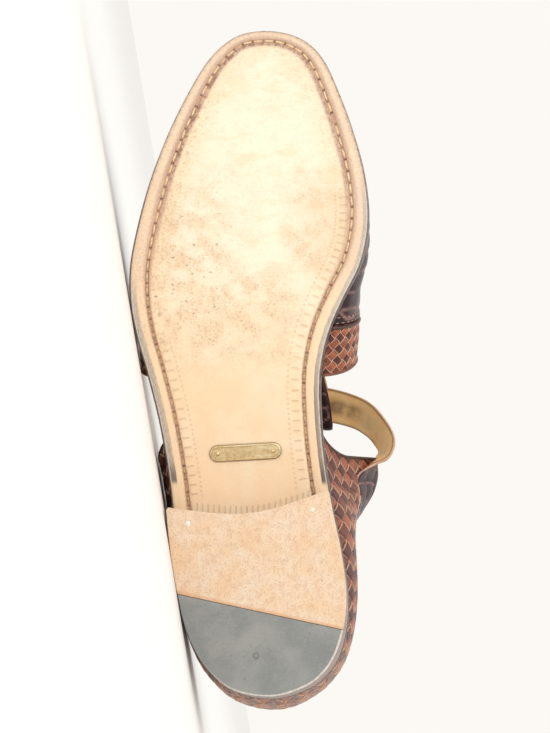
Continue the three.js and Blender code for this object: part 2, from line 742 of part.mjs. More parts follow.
// The face of the whole shoe's hull, on the outer side, that carries the middle of its weight
const sideways = 0.7;

function restingFace(root) {
  const points = [];
  const weighted = new THREE.Vector3();
  let volume = 0;
  root.updateMatrixWorld(true);
  root.traverse((piece) => {
    if (!piece.isMesh) return;
    const { position } = piece.geometry.attributes;
    const corners = [...Array(position.count).keys()].map((k) => (
      new THREE.Vector3().fromBufferAttribute(position, k).applyMatrix4(piece.matrixWorld)
    ));
    points.push(...corners);
    const index = piece.geometry.index.array;
    for (let k = 0; k < index.length; k += 3) {
      const [a, b, c] = [corners[index[k]], corners[index[k + 1]], corners[index[k + 2]]];
      const share = a.dot(b.clone().cross(c)) / 6;
      volume += share;
      weighted.addScaledVector(a.clone().add(b).add(c), share / 4);
    }
  });
  const middle = weighted.divideScalar(volume);
  const hull = new ConvexHull().setFromPoints(points);
  const outerSide = new THREE.Vector3(0, -1, 0);
  const holds = (face) => {
    const drop = face.normal.dot(face.midpoint.clone().sub(middle));
    const foot = middle.clone().addScaledVector(face.normal, drop);
    return [0, 1, 2].every((k) => {
      const edge = face.getEdge(k);
      const tail = edge.tail().point;
      const along = edge.head().point.clone().sub(tail);
      return along.cross(foot.clone().sub(tail)).dot(face.normal) >= 0;
    });
  };
  const faces = hull.faces.filter((face) => face.normal.dot(outerSide) > sideways);
  return faces.find(holds).normal;
}

// Laid down with that face on the floor and the toe towards -X, its box centred over the origin
function layDown(root) {
  const down = restingFace(root);
  const up = down.clone().negate();
  const heelward = new THREE.Vector3(-1, 0, 0);
  heelward.addScaledVector(up, -heelward.dot(up)).normalize();
  const third = up.clone().cross(heelward);
  const standing = new THREE.Matrix4().makeBasis(heelward, third, up);
  root.quaternion.setFromRotationMatrix(standing.transpose());
  root.updateMatrixWorld(true);
  const box = new THREE.Box3().setFromObject(root, true);
  root.position.set(-(box.min.x + box.max.x) / 2, -(box.min.y + box.max.y) / 2, -box.min.z);
}

layDown(shoe);

const sandal = new THREE.Group();
sandal.add(shoe);

export default sandal;
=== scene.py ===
import bisect
import json
import math
import random

import bmesh
import bpy
from mathutils import Matrix, Vector, noise


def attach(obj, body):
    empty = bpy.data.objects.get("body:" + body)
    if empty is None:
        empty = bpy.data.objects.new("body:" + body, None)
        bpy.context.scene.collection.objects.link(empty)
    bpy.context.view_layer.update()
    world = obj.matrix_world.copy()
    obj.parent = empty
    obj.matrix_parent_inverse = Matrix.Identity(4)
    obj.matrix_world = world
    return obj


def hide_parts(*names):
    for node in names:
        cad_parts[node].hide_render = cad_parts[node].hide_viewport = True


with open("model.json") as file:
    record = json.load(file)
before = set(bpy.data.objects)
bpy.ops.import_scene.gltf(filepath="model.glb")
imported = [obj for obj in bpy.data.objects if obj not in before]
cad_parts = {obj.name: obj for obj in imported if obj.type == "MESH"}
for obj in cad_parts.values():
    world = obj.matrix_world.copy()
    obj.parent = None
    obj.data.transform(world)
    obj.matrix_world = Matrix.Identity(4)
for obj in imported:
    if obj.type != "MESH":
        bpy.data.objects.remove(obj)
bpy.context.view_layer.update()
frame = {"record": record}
scene = bpy.context.scene
dice = random.Random(11)
print("frame loaded")

# The shoe's own axes, in millimetres: x heel to toe, y to the inner side, z up from the tread
mounts = {mount["name"]: mount for mount in frame["record"]["mounts"]}
heelSpot = Vector(mounts["heel_tread"]["pos_m"])
foreSpot = Vector(mounts["forefoot_tread"]["pos_m"])
shoeFrame = {"heelSpotX": 60, "metre": 0.001}
alongAxis = (foreSpot - heelSpot).normalized()
upAxis = -Vector(mounts["heel_tread"]["axis"]).normalized()
acrossAxis = upAxis.cross(alongAxis)
shoeTurn = Matrix((alongAxis, acrossAxis, upAxis)).transposed()
shoeOrigin = heelSpot - alongAxis * shoeFrame["heelSpotX"] * shoeFrame["metre"]
toRow = Matrix.Translation(shoeOrigin) @ shoeTurn.to_4x4() @ Matrix.Scale(shoeFrame["metre"], 4)
fromRow = toRow.inverted()


def clamp(value, low=0.0, high=1.0):
    return max(low, min(high, value))


def lerp(a, b, u):
    return a + (b - a) * u


def ease(value, low, high):
    u = clamp((value - low) / (high - low))
    return u * u * (3 - 2 * u)


def smoothCurve(pairs):  # a smooth curve through (input, value) pairs
    xs = [pair[0] for pair in pairs]
    ys = [pair[1] for pair in pairs]
    last = len(xs) - 1
    slopes = []
    for i in range(len(xs)):
        a, b = max(i - 1, 0), min(i + 1, last)
        slopes.append((ys[b] - ys[a]) / (xs[b] - xs[a]))

    def at(x):
        i = min(max(bisect.bisect_right(xs, x) - 1, 0), last - 1)
        span = xs[i + 1] - xs[i]
        u = clamp((x - xs[i]) / span)
        rise = u * u * (3 - 2 * u)
        pull = u * (1 - u) * (1 - u) * span * slopes[i] + u * u * (u - 1) * span * slopes[i + 1]
        return ys[i] * (1 - rise) + ys[i + 1] * rise + pull

    return at


def columnCurves(table):
    rows, names = table["rows"], table["names"]
    return {name: smoothCurve([(row[0], row[k]) for row in rows]) for k, name in enumerate(names) if k}


def runLengths(points):  # length from the first point to each
    lengths = [0.0]
    for a, b in zip(points, points[1:]):
        lengths.append(lengths[-1] + (b - a).length)
    return lengths


def locate(lengths, target):  # the step that holds a length, and the share of that step
    i = min(max(bisect.bisect_right(lengths, target) - 1, 0), len(lengths) - 2)
    return i, (target - lengths[i]) / (lengths[i + 1] - lengths[i])


# Sole
sole = {
    "length": 305.0, "heelBack": -2.5, "tipY": 2.5, "toeY": -2.5,
    "thick": 5.0, "heelHeight": 24.0, "seatSlope": 0.03, "breastX": 90.0,
    "treadBack": 178.0, "treadFront": 216.0, "toeSpring": 9.0, "seam": 0.3,
    "rows": [  # x, inner edge, outer edge
        (0.3, 15.6, -13), (5, 24.5, -20.2), (14.2, 32.3, -28.2), (28, 36.7, -34.4), (44, 37.5, -37.9),
        (64, 34.6, -41.2), (84, 30.3, -43.5), (104, 27.2, -46.2), (124, 25.4, -49.6), (143, 25.4, -54),
        (160, 29, -58.7), (175, 35.3, -61.4), (192, 43.4, -61.7), (211, 46.9, -58.5), (232, 45.2, -53.2),
        (254, 39.6, -45.6), (275, 32.2, -36.4), (290, 25.4, -28.2), (299, 17.4, -20.2), (303.5, 8.2, -12.5),
    ],
}


def underside(x):
    seatEnd = sole["heelHeight"] - sole["seatSlope"] * sole["breastX"]
    if x <= sole["breastX"]:
        return sole["heelHeight"] - sole["seatSlope"] * x
    if x <= sole["treadBack"]:
        reach = sole["treadBack"] - sole["breastX"]
        u = (x - sole["breastX"]) / reach
        return seatEnd * (1 - u * u * (3 - 2 * u)) - u * (1 - u) * (1 - u) * reach * sole["seatSlope"]
    if x <= sole["treadFront"]:
        return 0.0
    return sole["toeSpring"] * ((x - sole["treadFront"]) / (sole["length"] - sole["treadFront"])) ** 2


def soleTop(x):
    return underside(x) + sole["thick"]


soleSpan = sole["length"] - sole["heelBack"]


def angleAt(x):
    return math.acos(1 - 2 * (x - sole["heelBack"]) / soleSpan)


def edgeCurve(k):
    pairs = [(0.0, sole["tipY"])] + [(angleAt(row[0]), row[k]) for row in sole["rows"]]
    return smoothCurve(pairs + [(math.pi, sole["toeY"])])


medialEdge = edgeCurve(1)
lateralEdge = edgeCurve(2)
denseSteps = 900


def denseHalf(edge, sign):  # one side of the sole from heel tip to toe tip: places, outward directions, lengths
    places = []
    for i in range(denseSteps + 1):
        angle = math.pi * i / denseSteps
        places.append(Vector((sole["heelBack"] + soleSpan * (1 - math.cos(angle)) / 2, edge(angle))))
    normals = []
    for i in range(denseSteps + 1):
        if i in (0, denseSteps):
            normals.append(Vector((-1 if i == 0 else 1, 0)))
            continue
        run = (places[i + 1] - places[i - 1]).normalized()
        normals.append(Vector((-run.y, run.x)) * sign)
    return {"places": places, "normals": normals, "lengths": runLengths(places)}


halves = {1: denseHalf(medialEdge, 1), -1: denseHalf(lateralEdge, -1)}


def edgePoint(side, share):  # place, outward direction and length from the toe at a share of one side
    half = halves[side]
    target = share * half["lengths"][-1]
    i, u = locate(half["lengths"], target)
    place = half["places"][i].lerp(half["places"][i + 1], u)
    normal = half["normals"][i].lerp(half["normals"][i + 1], u).normalized()
    return place, normal, side * (half["lengths"][-1] - target)


def ringPoint(i, count):  # i from 0 at the heel tip over the inner side to the toe and back over the outer side
    i %= 2 * count
    if i <= count:
        return edgePoint(1, i / count)
    return edgePoint(-1, (2 * count - i) / count)


# Mesh helpers
def gridInto(bm, uCount, vCount, place, layers=()):
    made = bmesh.ops.create_grid(bm, x_segments=uCount, y_segments=vCount, size=0.5)
    spots = {}
    for vert in made["verts"]:
        spots[vert] = (round((vert.co.x + 0.5) * uCount), round((vert.co.y + 0.5) * vCount))
    for vert, (i, j) in spots.items():
        result = place(i, j)
        vert.co = result[0]
        for layer, value in zip(layers, result[1:]):
            vert[layer] = value
    cells = {}
    for vert in spots:
        for face in vert.link_faces:
            cells[face] = (min(spots[v][0] for v in face.verts), min(spots[v][1] for v in face.verts))
    return cells


def weld(bm, distance=0.004):
    bmesh.ops.remove_doubles(bm, verts=bm.verts, dist=distance)


def fillHoles(bm):
    rims = [edge for edge in bm.edges if edge.is_boundary]
    if rims:
        bmesh.ops.holes_fill(bm, edges=rims, sides=0)


def outward(bm):
    bmesh.ops.recalc_face_normals(bm, faces=bm.faces)


def closeUp(bm):
    weld(bm)
    fillHoles(bm)
    outward(bm)


def marksIn(bm, *names):  # values that the mesh carries for its materials
    return [bm.verts.layers.float.new(name) for name in names]


def wholeOf(bm):
    return bm.verts[:] + bm.edges[:] + bm.faces[:]


def finishPiece(name, bm, materials, replaces=(), sharp=0.7):
    for face in bm.faces:
        face.smooth = True
    for edge in bm.edges:
        if len(edge.link_faces) == 2 and edge.calc_face_angle(0) > sharp:
            edge.smooth = False
    bmesh.ops.transform(bm, matrix=toRow, verts=bm.verts)
    mesh = bpy.data.meshes.new(name)
    bm.to_mesh(mesh)
    bm.free()
    for material in materials:
        mesh.materials.append(material)
    piece = bpy.data.objects.new(name, mesh)
    scene.collection.objects.link(piece)
    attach(piece, "root")
    if replaces:
        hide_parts(*replaces)
    print("piece", name, len(mesh.polygons))
    return piece


def beadInto(bm, centre, run, rise, size):  # one stitch: size is its length, width and height
    side = rise.cross(run).normalized()
    turn = Matrix((run.normalized(), side, rise.normalized())).transposed().to_4x4()
    scale = Matrix.Diagonal((*size, 1))
    matrix = Matrix.Translation(centre) @ turn @ scale
    bmesh.ops.create_uvsphere(bm, u_segments=8, v_segments=5, radius=0.5, matrix=matrix)


def tubeInto(bm, points, rises, halfWidth, halfHeight, around=8):  # a cord or binding along points
    last = len(points) - 1
    runs = []
    for i in range(last + 1):
        runs.append((points[min(i + 1, last)] - points[max(i - 1, 0)]).normalized())

    def place(i, j):
        angle = 2 * math.pi * j / around
        side = runs[i].cross(rises[i]).normalized()
        rise = side.cross(runs[i]).normalized()
        return (points[i] + side * math.cos(angle) * halfWidth + rise * math.sin(angle) * halfHeight,)

    return gridInto(bm, last, around, place)


# Heel sizes
heel = {
    "taper": [(-2.5, 2.5), (14, 1.9), (44, 0.4), (64, 0.0), (100, 0.0)],
    "breast": [(-46, 82.5), (-17, 79.5), (1, 81), (33, 91.5)],
    # rounds: height and inset; nails: x, y, radius; profiles: share of the radius, height
    "lift": 6.0, "liftGap": 0.15, "seatInset": 0.35, "seatGap": 0.1,
    "outerSteps": 150, "breastSteps": 46, "corner": 0.8,
    "layers": 4, "layerEdge": 0.03, "notch": 0.16, "lowEdge": 0.3,
    "rounds": [(0.0, 0.75), (0.08, 0.38), (0.3, 0.12), (0.7, 0.0), (5.5, 0.0), (5.9, 0.3)],
    "tread": 0.02, "rim": (0.05, 0.75), "upright": 0.9,
    "tipOuter": (43.7, -36.2), "tipInner": (29.0, 36.3), "tipGap": 0.12, "tipBevel": 0.25,
    "nails": [(75.0, -33.5, 1.35), (81.4, 22.0, 1.1)], "nailSteps": 16,
    "nailProfile": [(0, -4), (1, -4), (1, -0.05), (0.85, 0.1), (0.45, 0.2), (0, 0.23)],
    "dimple": (17.5, -2.3, 1.15),
}
heelTaper = smoothCurve(heel["taper"])
breastCurve = smoothCurve(heel["breast"])


def aheadOfBreast(spot):
    return spot.x - breastCurve(clamp(spot.y, heel["breast"][0][0], heel["breast"][-1][0]))


# Materials
def srgb(r, g, b):
    def straight(c):
        c /= 255
        return c / 12.92 if c <= 0.04045 else ((c + 0.055) / 1.055) ** 2.4

    return (straight(r), straight(g), straight(b), 1.0)


def acting(operation):
    def act(self, other=0.0):
        return self.finish.work(operation, self, other)

    return act


class Level:  # a value in a material's nodes that adds and multiplies as a number does
    def __init__(self, finish, socket):
        self.finish, self.socket = finish, socket

    __add__, __sub__, __mul__ = acting("ADD"), acting("SUBTRACT"), acting("MULTIPLY")
    __truediv__, __pow__, __abs__ = acting("DIVIDE"), acting("POWER"), acting("ABSOLUTE")


larger, squareRoot, fraction = acting("MAXIMUM"), acting("SQRT"), acting("FRACT")


def fromPitch(a, step):  # share of a step away from its middle, 0.5 at its ends
    return abs(fraction(a / step) - 0.5)


class Finish:  # one procedural material and the nodes it is made of
    def __init__(self, name, metres=False, **sockets):
        self.material = bpy.data.materials.new(name)
        self.material.use_nodes = True
        self.nodes = self.material.node_tree.nodes
        self.links = self.material.node_tree.links
        self.shader = self.nodes["Principled BSDF"]
        for socket, value in sockets.items():
            self.shader.inputs[socket.replace("_", " ")].default_value = value
        place = self.add("ShaderNodeTexCoord").outputs["Object"]
        self.place = place if metres else self.shoePlace(place)

    def plug(self, socket, value):
        value = value.socket if isinstance(value, Level) else value
        if isinstance(value, bpy.types.NodeSocket):
            self.links.new(value, socket)
        else:
            socket.default_value = value

    def add(self, kind, inputs=None, **settings):
        node = self.nodes.new(kind)
        for key, value in settings.items():
            setattr(node, key, value)
        for key, value in (inputs or {}).items():
            self.plug(node.inputs[key], value)
        return node

    def work(self, operation, a, b):
        node = self.add("ShaderNodeMath", {0: a, 1: b}, operation=operation)
        return Level(self, node.outputs["Value"])

    def shoePlace(self, place):  # the shoe's own millimetres
        turn = fromRow.to_3x3().normalized().to_euler()
        size = 1 / shoeFrame["metre"]
        inputs = {"Vector": place, "Location": fromRow.translation, "Rotation": turn, "Scale": (size,) * 3}
        return self.add("ShaderNodeMapping", inputs).outputs["Vector"]

    def split(self):  # along and across the shoe
        node = self.add("ShaderNodeSeparateXYZ", {"Vector": self.place})
        return Level(self, node.outputs["X"]), Level(self, node.outputs["Y"])

    def mark(self, name):  # a value that the mesh carries
        node = self.add("ShaderNodeAttribute", attribute_name=name)
        return Level(self, node.outputs["Fac"])

    def grain(self, scale, detail=3.0, rough=0.55, pull=None):  # pull: stretch the grain along the axes
        vector = self.place
        if pull:
            vector = self.add("ShaderNodeMapping", {"Vector": vector, "Scale": pull}).outputs["Vector"]
        inputs = {"Vector": vector, "Scale": scale, "Detail": detail, "Roughness": rough}
        return Level(self, self.add("ShaderNodeTexNoise", inputs).outputs["Fac"])

    def span(self, value, low, high, start=0.0, end=1.0):
        inputs = {"Value": value, "From Min": low, "From Max": high, "To Min": start, "To Max": end}
        node = self.add("ShaderNodeMapRange", inputs, interpolation_type="SMOOTHSTEP")
        return Level(self, node.outputs["Result"])

    def blend(self, share, a, b):  # inputs 0, 6 and 7 and output 2 are the ones for colours
        return self.add("ShaderNodeMix", {0: share, 6: a, 7: b}, data_type="RGBA").outputs[2]

    def base(self, share, a, b):
        self.colour = self.blend(share, a, b)

    def paint(self, share, tone):
        self.colour = self.blend(share, self.colour, tone)

    def fleck(self, tone, share, low, high, *grain):  # spots of a tone where the grain is high
        self.paint(self.span(self.grain(*grain), low, high) * share, tone)

    def ramp(self, value, stops):  # colours at shares of the value
        node = self.add("ShaderNodeValToRGB", {"Fac": value})
        elements = node.color_ramp.elements
        while len(elements) < len(stops):
            elements.new(0.5)
        for element, (place, colour) in zip(elements, stops):
            element.position = place
            element.color = colour
        return node.outputs["Color"]

    def finish(self, roughness=None, height=None, depth=0.0):
        self.plug(self.shader.inputs["Base Color"], self.colour)
        if roughness is not None:
            self.plug(self.shader.inputs["Roughness"], roughness)
        if height is not None:
            inputs = {"Height": height, "Distance": depth * shoeFrame["metre"], "Strength": 1.0}
            self.plug(self.shader.inputs["Normal"], self.add("ShaderNodeBump", inputs).outputs["Normal"])
        return self.material


soleColours = {
    "cream": srgb(250, 240, 218), "peach": srgb(253, 222, 184), "wash": srgb(238, 210, 176),
    "tan": srgb(208, 176, 140), "brown": srgb(160, 130, 102), "blot": srgb(204, 172, 136),
    "speck": srgb(128, 100, 84), "rimBase": srgb(242, 216, 190), "rimTan": srgb(220, 192, 170),
    "halo": srgb(206, 170, 146), "mauve": srgb(194, 162, 144), "ragged": srgb(146, 112, 94),
    "groove": srgb(200, 160, 130), "hole": srgb(124, 92, 74), "rim": srgb(196, 172, 152),
    "scuff": srgb(172, 152, 138), "dapple": srgb(128, 114, 104), "nearHeel": srgb(92, 80, 78),
    "line": srgb(98, 84, 78),
}
stitchStep = 6.0  # length of one stitch of the sole, with its gap
waxDepth = 5.0  # the waxed band's colours, at shares of this distance from the edge
# in both bands the light stop (0.2 here, 0.22 below) is a painted highlight on the edge's corner
paleWaxAndHighlightStops = [
    (0.0, srgb(96, 86, 82)), (0.13, srgb(112, 102, 96)), (0.2, srgb(226, 216, 208)),
    (0.3, srgb(202, 190, 178)), (0.55, srgb(200, 184, 166)), (0.75, srgb(222, 198, 170)),
]
greyWaxAndHighlightStops = [
    (0.0, srgb(66, 58, 56)), (0.16, srgb(78, 70, 67)), (0.22, srgb(224, 218, 210)),
    (0.32, srgb(176, 162, 148)), (0.5, srgb(160, 145, 130)), (0.64, srgb(150, 130, 110)),
]


def soleLeather():
    f = Finish("pale_sole_leather", Roughness=0.62, Specular_IOR_Level=0.25)
    c = soleColours
    x, y = f.split()
    fromEdge, fromStitch, alongEdge = f.mark("fromEdge"), f.mark("fromStitch"), f.mark("alongEdge")
    fromBreast = f.mark("fromBreast")
    far = abs(fromStitch)
    # cream forefoot, peach waist and rim
    waist = f.span(x, 205, 135)
    rim = f.span(fromStitch, 16, 0)
    soft = f.span(f.grain(0.05, 4), 0.25, 0.6, 0.55, 1.0)
    outerSide = f.span(y, 20, -45, 0.55, 0.95)
    peach = larger(waist, rim * outerSide)
    peach = larger(peach * soft, f.span(fromStitch, 0.6, -0.8))
    f.base(peach, c["cream"], c["peach"])
    f.fleck(c["peach"], 0.5, 0.5, 0.66, 0.13, 5, 0.62, (1.0, 0.45, 1.0))  # streaks
    f.fleck(c["wash"], 0.28, 0.5, 0.68, 0.75, 5, 0.7)  # pores
    # wear: washes and clusters of fine dots, most at the outer ball, then behind it and at the inner ball
    outerBall = f.span(y, 2, -34) * (f.span(x, 140, 170) * f.span(x, 250, 200))
    behind = f.span(x, 140, 160) * (f.span(x, 200, 178) * f.span(y, 24, 4))
    innerBall = f.span(y, 2, 18) * (f.span(x, 178, 195) * f.span(x, 245, 215))
    toeWear = f.span(x, 250, 290) * 0.16
    worn = larger(larger(outerBall, behind * 0.9), larger(innerBall, toeWear))
    worn = worn * 0.86 + 0.14
    clusters = f.span(f.grain(0.1, 3, 0.55), 0.4, 0.6, 0.3, 1.0)
    worn = worn * clusters
    wash = f.span(f.grain(0.14, 5, 0.7), 0.36, 0.6, 0.32, 1.0)
    f.paint(wash * worn, c["wash"])
    f.fleck(c["blot"], worn * 0.75, 0.54, 0.72, 0.3, 5, 0.72, (0.8, 1.2, 1.0))  # blots
    f.fleck(c["tan"], worn * 0.75, 0.48, 0.68, 1.0, 4, 0.65, (1.2, 0.8, 1.0))  # dots
    f.fleck(c["brown"], worn * 0.85, 0.6, 0.7, 1.25, 3, 0.6)  # grit
    nicks = f.span(f.grain(0.5, 4, 0.62, (1.0, 0.7, 1.0)), 0.58, 0.68)
    nicks = nicks * f.span(f.grain(0.17, 3), 0.45, 0.58, 0.1, 0.8)
    f.paint(nicks * outerBall, c["brown"])
    outerRun = f.span(y, 0, -18) * (f.span(x, 165, 195) * f.span(x, 292, 262, 0.35, 1.0))
    toeRun = f.span(x, 215, 255) * 0.55
    besideStitch = f.span(fromStitch, 15, 2) * larger(outerRun, toeRun)
    f.fleck(c["blot"], besideStitch * 0.8, 0.5, 0.64, 0.62, 6, 0.74, (1.1, 0.8, 1.0))  # mottle
    f.fleck(c["brown"], besideStitch * 0.8, 0.6, 0.68, 0.85, 5, 0.7)  # scabs
    f.fleck(c["speck"], worn + 0.15, 0.74, 0.8, 0.7, 2, 0.5)  # specks
    f.paint(innerBall * f.span(y, 12, 30, 0.15, 0.5), c["wash"])
    onRim = f.span(fromStitch, 0.4, -0.8) * f.span(x, 150, 210, 0.1, 1.0)
    f.paint(onRim * 0.6, c["rimBase"])
    rimMottle = f.span(f.grain(0.8, 5, 0.7), 0.42, 0.64) * onRim
    f.paint(rimMottle * 0.6, c["rimTan"])
    # wheel marks inside the stitch, a dotted line beyond them, and marks along the heel breast
    inward = fromStitch + f.span(y, 4, -4, 0.0, 1.0)
    tick = f.span(fromPitch(alongEdge, 4.2), 0.14, 0.05) * f.span(inward, 1.9, 2.8)
    tick = tick * f.span(inward, 6.0, 5.2)
    ring = f.span(abs(inward - 7.4), 0.6, 0.2)
    dot = f.span(fromPitch(alongEdge, 2.1), 0.3, 0.14) * ring * 0.75
    innerEdge, outerEdge = f.span(y, -4, 4), f.span(y, 4, -4)
    pressed = larger(tick, dot) * larger(innerEdge * f.span(x, 232, 222), outerEdge * f.span(x, 166, 156))
    pressed = pressed * f.span(fromBreast, 6.0, 7.5)
    breastTick = f.span(fromPitch(y, 2.55), 0.16, 0.07) * f.span(fromBreast, 4.8, 4.0)
    breastTick = breastTick * f.span(fromStitch, 0.6, 1.6)
    pressed = larger(pressed, breastTick)
    faint = f.span(f.grain(0.12, 2), 0.35, 0.65, 0.2, 0.42)
    f.paint(pressed * faint, c["tan"])
    # stitch channel, stained wider round the forefoot
    wide = f.span(x, 150, 225)
    reach = wide * 1.7 + 1.4
    wander = f.grain(0.28, 3)
    ragged = wander * 1.8 + f.grain(1.1, 3) * 1.8
    spread = abs(fromStitch - wide * 0.15)
    haloed = f.span((spread + (ragged - 1.7)) / reach, 1.2, 0.5)
    haloed = haloed * f.span(wander, 0.3, 0.6, 0.6, 0.95)
    atToe = f.span(x, 195, 250)
    f.paint(haloed, f.blend(atToe, c["halo"], c["mauve"]))
    crumbs = f.span(f.grain(0.55, 5, 0.7), 0.46, 0.57)
    crumbs = crumbs * f.span(abs(fromStitch - 1.1), 2.1, 0.6) * atToe
    f.paint(crumbs * f.span(y, 30, -10, 0.6, 0.9), c["ragged"])
    f.paint(f.span(far, 1.15, 0.6) * 0.85, c["groove"])
    hole = f.span(fromPitch(alongEdge, stitchStep), 0.38, 0.46) * f.span(far, 0.95, 0.6)
    f.paint(hole * f.span(wander, 0.35, 0.6, 0.5, 0.95), c["hole"])
    # dyed rim, with a waxed band along the waist that carries a painted highlight line
    wavy = fromEdge + (wander - 0.5) * 0.5
    dull = f.span(wavy, 2.2, 0.5) * f.span(f.grain(0.9, 4), 0.35, 0.6, 0.25, 0.8)
    f.paint(dull, c["rim"])
    scuffed = f.span(wavy, 3.2, 0.6) * f.span(f.grain(1.1, 5, 0.7), 0.5, 0.62)
    f.paint(scuffed * atToe * 0.7, c["scuff"])
    waxed = f.span(x, 93, 96) * larger(innerEdge * f.span(x, 236, 214), outerEdge * f.span(x, 190, 172))
    # waxed colours with the painted highlight line near the edge
    paleWaxAndHighlight, greyWaxAndHighlight = f.ramp(wavy / waxDepth, paleWaxAndHighlightStops), f.ramp(wavy / waxDepth, greyWaxAndHighlightStops)
    waxAndHighlight = f.blend(innerEdge * f.span(x, 165, 122), paleWaxAndHighlight, greyWaxAndHighlight)
    dapple = f.span(f.grain(0.8, 4, 0.65, (0.5, 1.4, 1.0)), 0.45, 0.68)
    waxAndHighlight = f.blend(dapple * f.span(wavy, 0.7, 1.2, 0.0, 0.4), waxAndHighlight, c["dapple"])
    nearHeel = f.span(x, 108, 97) * f.span(wavy, 1.0, 1.6)
    waxAndHighlight = f.blend(nearHeel * 0.7, waxAndHighlight, c["nearHeel"])
    bandWidth = f.span(y, -4, 4, 4.0, 3.4)
    fade = f.span(x, 190, 140, 1.2, 0.35)
    waxBand = f.span((bandWidth - wavy) / fade, 0.0, 1.0)
    f.paint(waxBand * waxed, waxAndHighlight)
    line = f.span(wavy, 0.95, 0.5) * f.span(x, 275, 215, 0.25, 0.7)
    f.paint(line, c["line"])
    fine = f.grain(2.2, 5, 0.7)
    return f.finish(f.span(fine, 0.2, 0.8, 0.5, 0.75), fine * 0.3 - pressed * 0.8, 0.3)


def edgeDye():
    f = Finish("dyed_sole_edge", Roughness=0.32, Coat_Weight=0.35, Coat_Roughness=0.2)
    wear = f.grain(0.5, 4)
    f.base(f.span(wear, 0.4, 0.75), srgb(58, 46, 44), srgb(104, 84, 74))
    x, _ = f.split()
    bare = f.span(f.mark("fromEdge"), 0.0, 0.5) * f.span(x, 205, 262, 0.15, 0.9)
    bare = bare * f.span(f.grain(0.7, 4, 0.65), 0.34, 0.56, 0.35, 1.0)
    f.paint(bare, srgb(206, 178, 154))
    return f.finish(f.span(wear, 0.2, 0.8, 0.25, 0.45), f.grain(3, 3), 0.12)


def heelLeather():
    f = Finish("heel_lift_leather", Roughness=0.7, Specular_IOR_Level=0.25)
    f.base(f.span(f.grain(0.07, 4), 0.3, 0.68), srgb(249, 214, 176), srgb(250, 228, 204))
    f.fleck(srgb(230, 190, 156), 0.55, 0.42, 0.66, 0.3, 5, 0.7)  # clouds
    f.fleck(srgb(222, 182, 146), 0.5, 0.5, 0.64, 1.2, 4, 0.65)  # dots
    f.fleck(srgb(176, 132, 100), 0.75, 0.64, 0.72, 1.0, 3, 0.6)  # specks
    f.paint(f.span(f.mark("toTip"), 2.2, 0.2) * 0.55, srgb(222, 160, 108))
    return f.finish(height=f.grain(2.0, 5, 0.75), depth=0.5)


def heelWall():
    f = Finish("stacked_heel_wall", Roughness=0.4, Specular_IOR_Level=0.4)
    layers = (0.02, 0.02, 1.1)
    layer = f.grain(1.0, 4, 0.6, layers)
    f.base(f.span(layer, 0.35, 0.65), srgb(122, 98, 88), srgb(172, 150, 138))
    return f.finish(f.span(layer, 0.3, 0.7, 0.3, 0.5), f.grain(3, 3, pull=layers), 0.2)


# the pale rim of the rubber tip is a painted highlight on its rounded edge, greying towards the outer side
def paleRim():
    f = Finish("heel_rim_highlight", Roughness=0.6)
    _, y = f.split()
    f.base(f.span(f.grain(0.8, 4), 0.35, 0.7), srgb(222, 214, 206), srgb(186, 178, 172))
    f.paint(f.span(y, -8, -26), srgb(150, 148, 146))
    return f.finish()


def heelRubber():
    f = Finish("worn_heel_rubber", Roughness=0.85, Specular_IOR_Level=0.2)
    x, y = f.split()
    f.base(f.span(f.grain(0.06, 4, 0.5), 0.3, 0.72), srgb(138, 141, 140), srgb(160, 160, 157))
    f.fleck(srgb(178, 175, 168), 0.4, 0.5, 0.72, 1.0, 5, 0.7, (1.2, 0.6, 1.0))  # dust
    f.fleck(srgb(108, 109, 108), 0.5, 0.66, 0.76, 1.3, 3, 0.6)  # dark specks
    scuffed = f.span(f.grain(0.075, 3), 0.42, 0.62)
    f.fleck(srgb(110, 112, 113), scuffed * 0.45, 0.5, 0.7, 0.5, 6, 0.72)  # scuffs
    away = (x - heel["dimple"][0]) ** 2.0 + (y - heel["dimple"][1]) ** 2.0
    ring = f.span(abs(squareRoot(away) - heel["dimple"][2]), 0.6, 0.15)
    f.paint(ring * 0.4, srgb(104, 106, 106))
    return f.finish(height=f.grain(2.0, 4, 0.7) - ring, depth=0.3)


def thread(name, light, dark, soiled=None):
    f = Finish(name, Roughness=0.8)
    f.base(f.span(f.grain(1.8, 3), 0.35, 0.7), light, dark)
    if soiled:  # browned by wax along the waist
        x, _ = f.split()
        grimy = f.blend(f.span(f.grain(0.8, 3), 0.4, 0.62), dark, soiled)
        f.paint(f.span(x, 215, 160, 0.0, 0.85), grimy)
    return f.finish(height=f.grain(6, 2), depth=0.15)


def wovenLeather():
    f = Finish("woven_brown_leather", Roughness=0.36, Specular_IOR_Level=0.3)
    x, _ = f.split()
    tint, dip = f.mark("tint"), f.mark("dip")
    rear = f.span(x, 125, 100)
    tint = tint * (rear * 0.3 + 1.0) - rear * 0.36
    # the tint mark carries random tone and the painted light and shade of the two strip directions
    f.base(f.span(tint, 0.0, 1.0), srgb(82, 40, 35), srgb(164, 94, 66))
    f.fleck(srgb(96, 50, 42), 0.45, 0.42, 0.68, 0.3, 3)  # clouds
    # painted shade where a strip dips under the crossing strip
    f.paint(f.span(dip, 0.6, -0.35), srgb(56, 28, 27))
    # paler in patches towards the back of the heel
    paleTowardsHeelBack = f.span(x, 36, 4) * f.span(f.grain(0.5, 4, 0.65), 0.36, 0.6, 0.2, 0.6)
    f.paint(paleTowardsHeelBack, srgb(186, 158, 144))
    fine = f.grain(2.6, 4, 0.65)
    return f.finish(f.span(fine, 0.2, 0.8, 0.3, 0.48), fine, 0.12)


def rawEdge():
    f = Finish("cut_leather_edge", Roughness=0.75)
    fine = f.grain(1.4, 4, 0.6)
    f.base(f.span(fine, 0.35, 0.7), srgb(220, 178, 152), srgb(180, 132, 108))
    return f.finish(height=fine, depth=0.15)


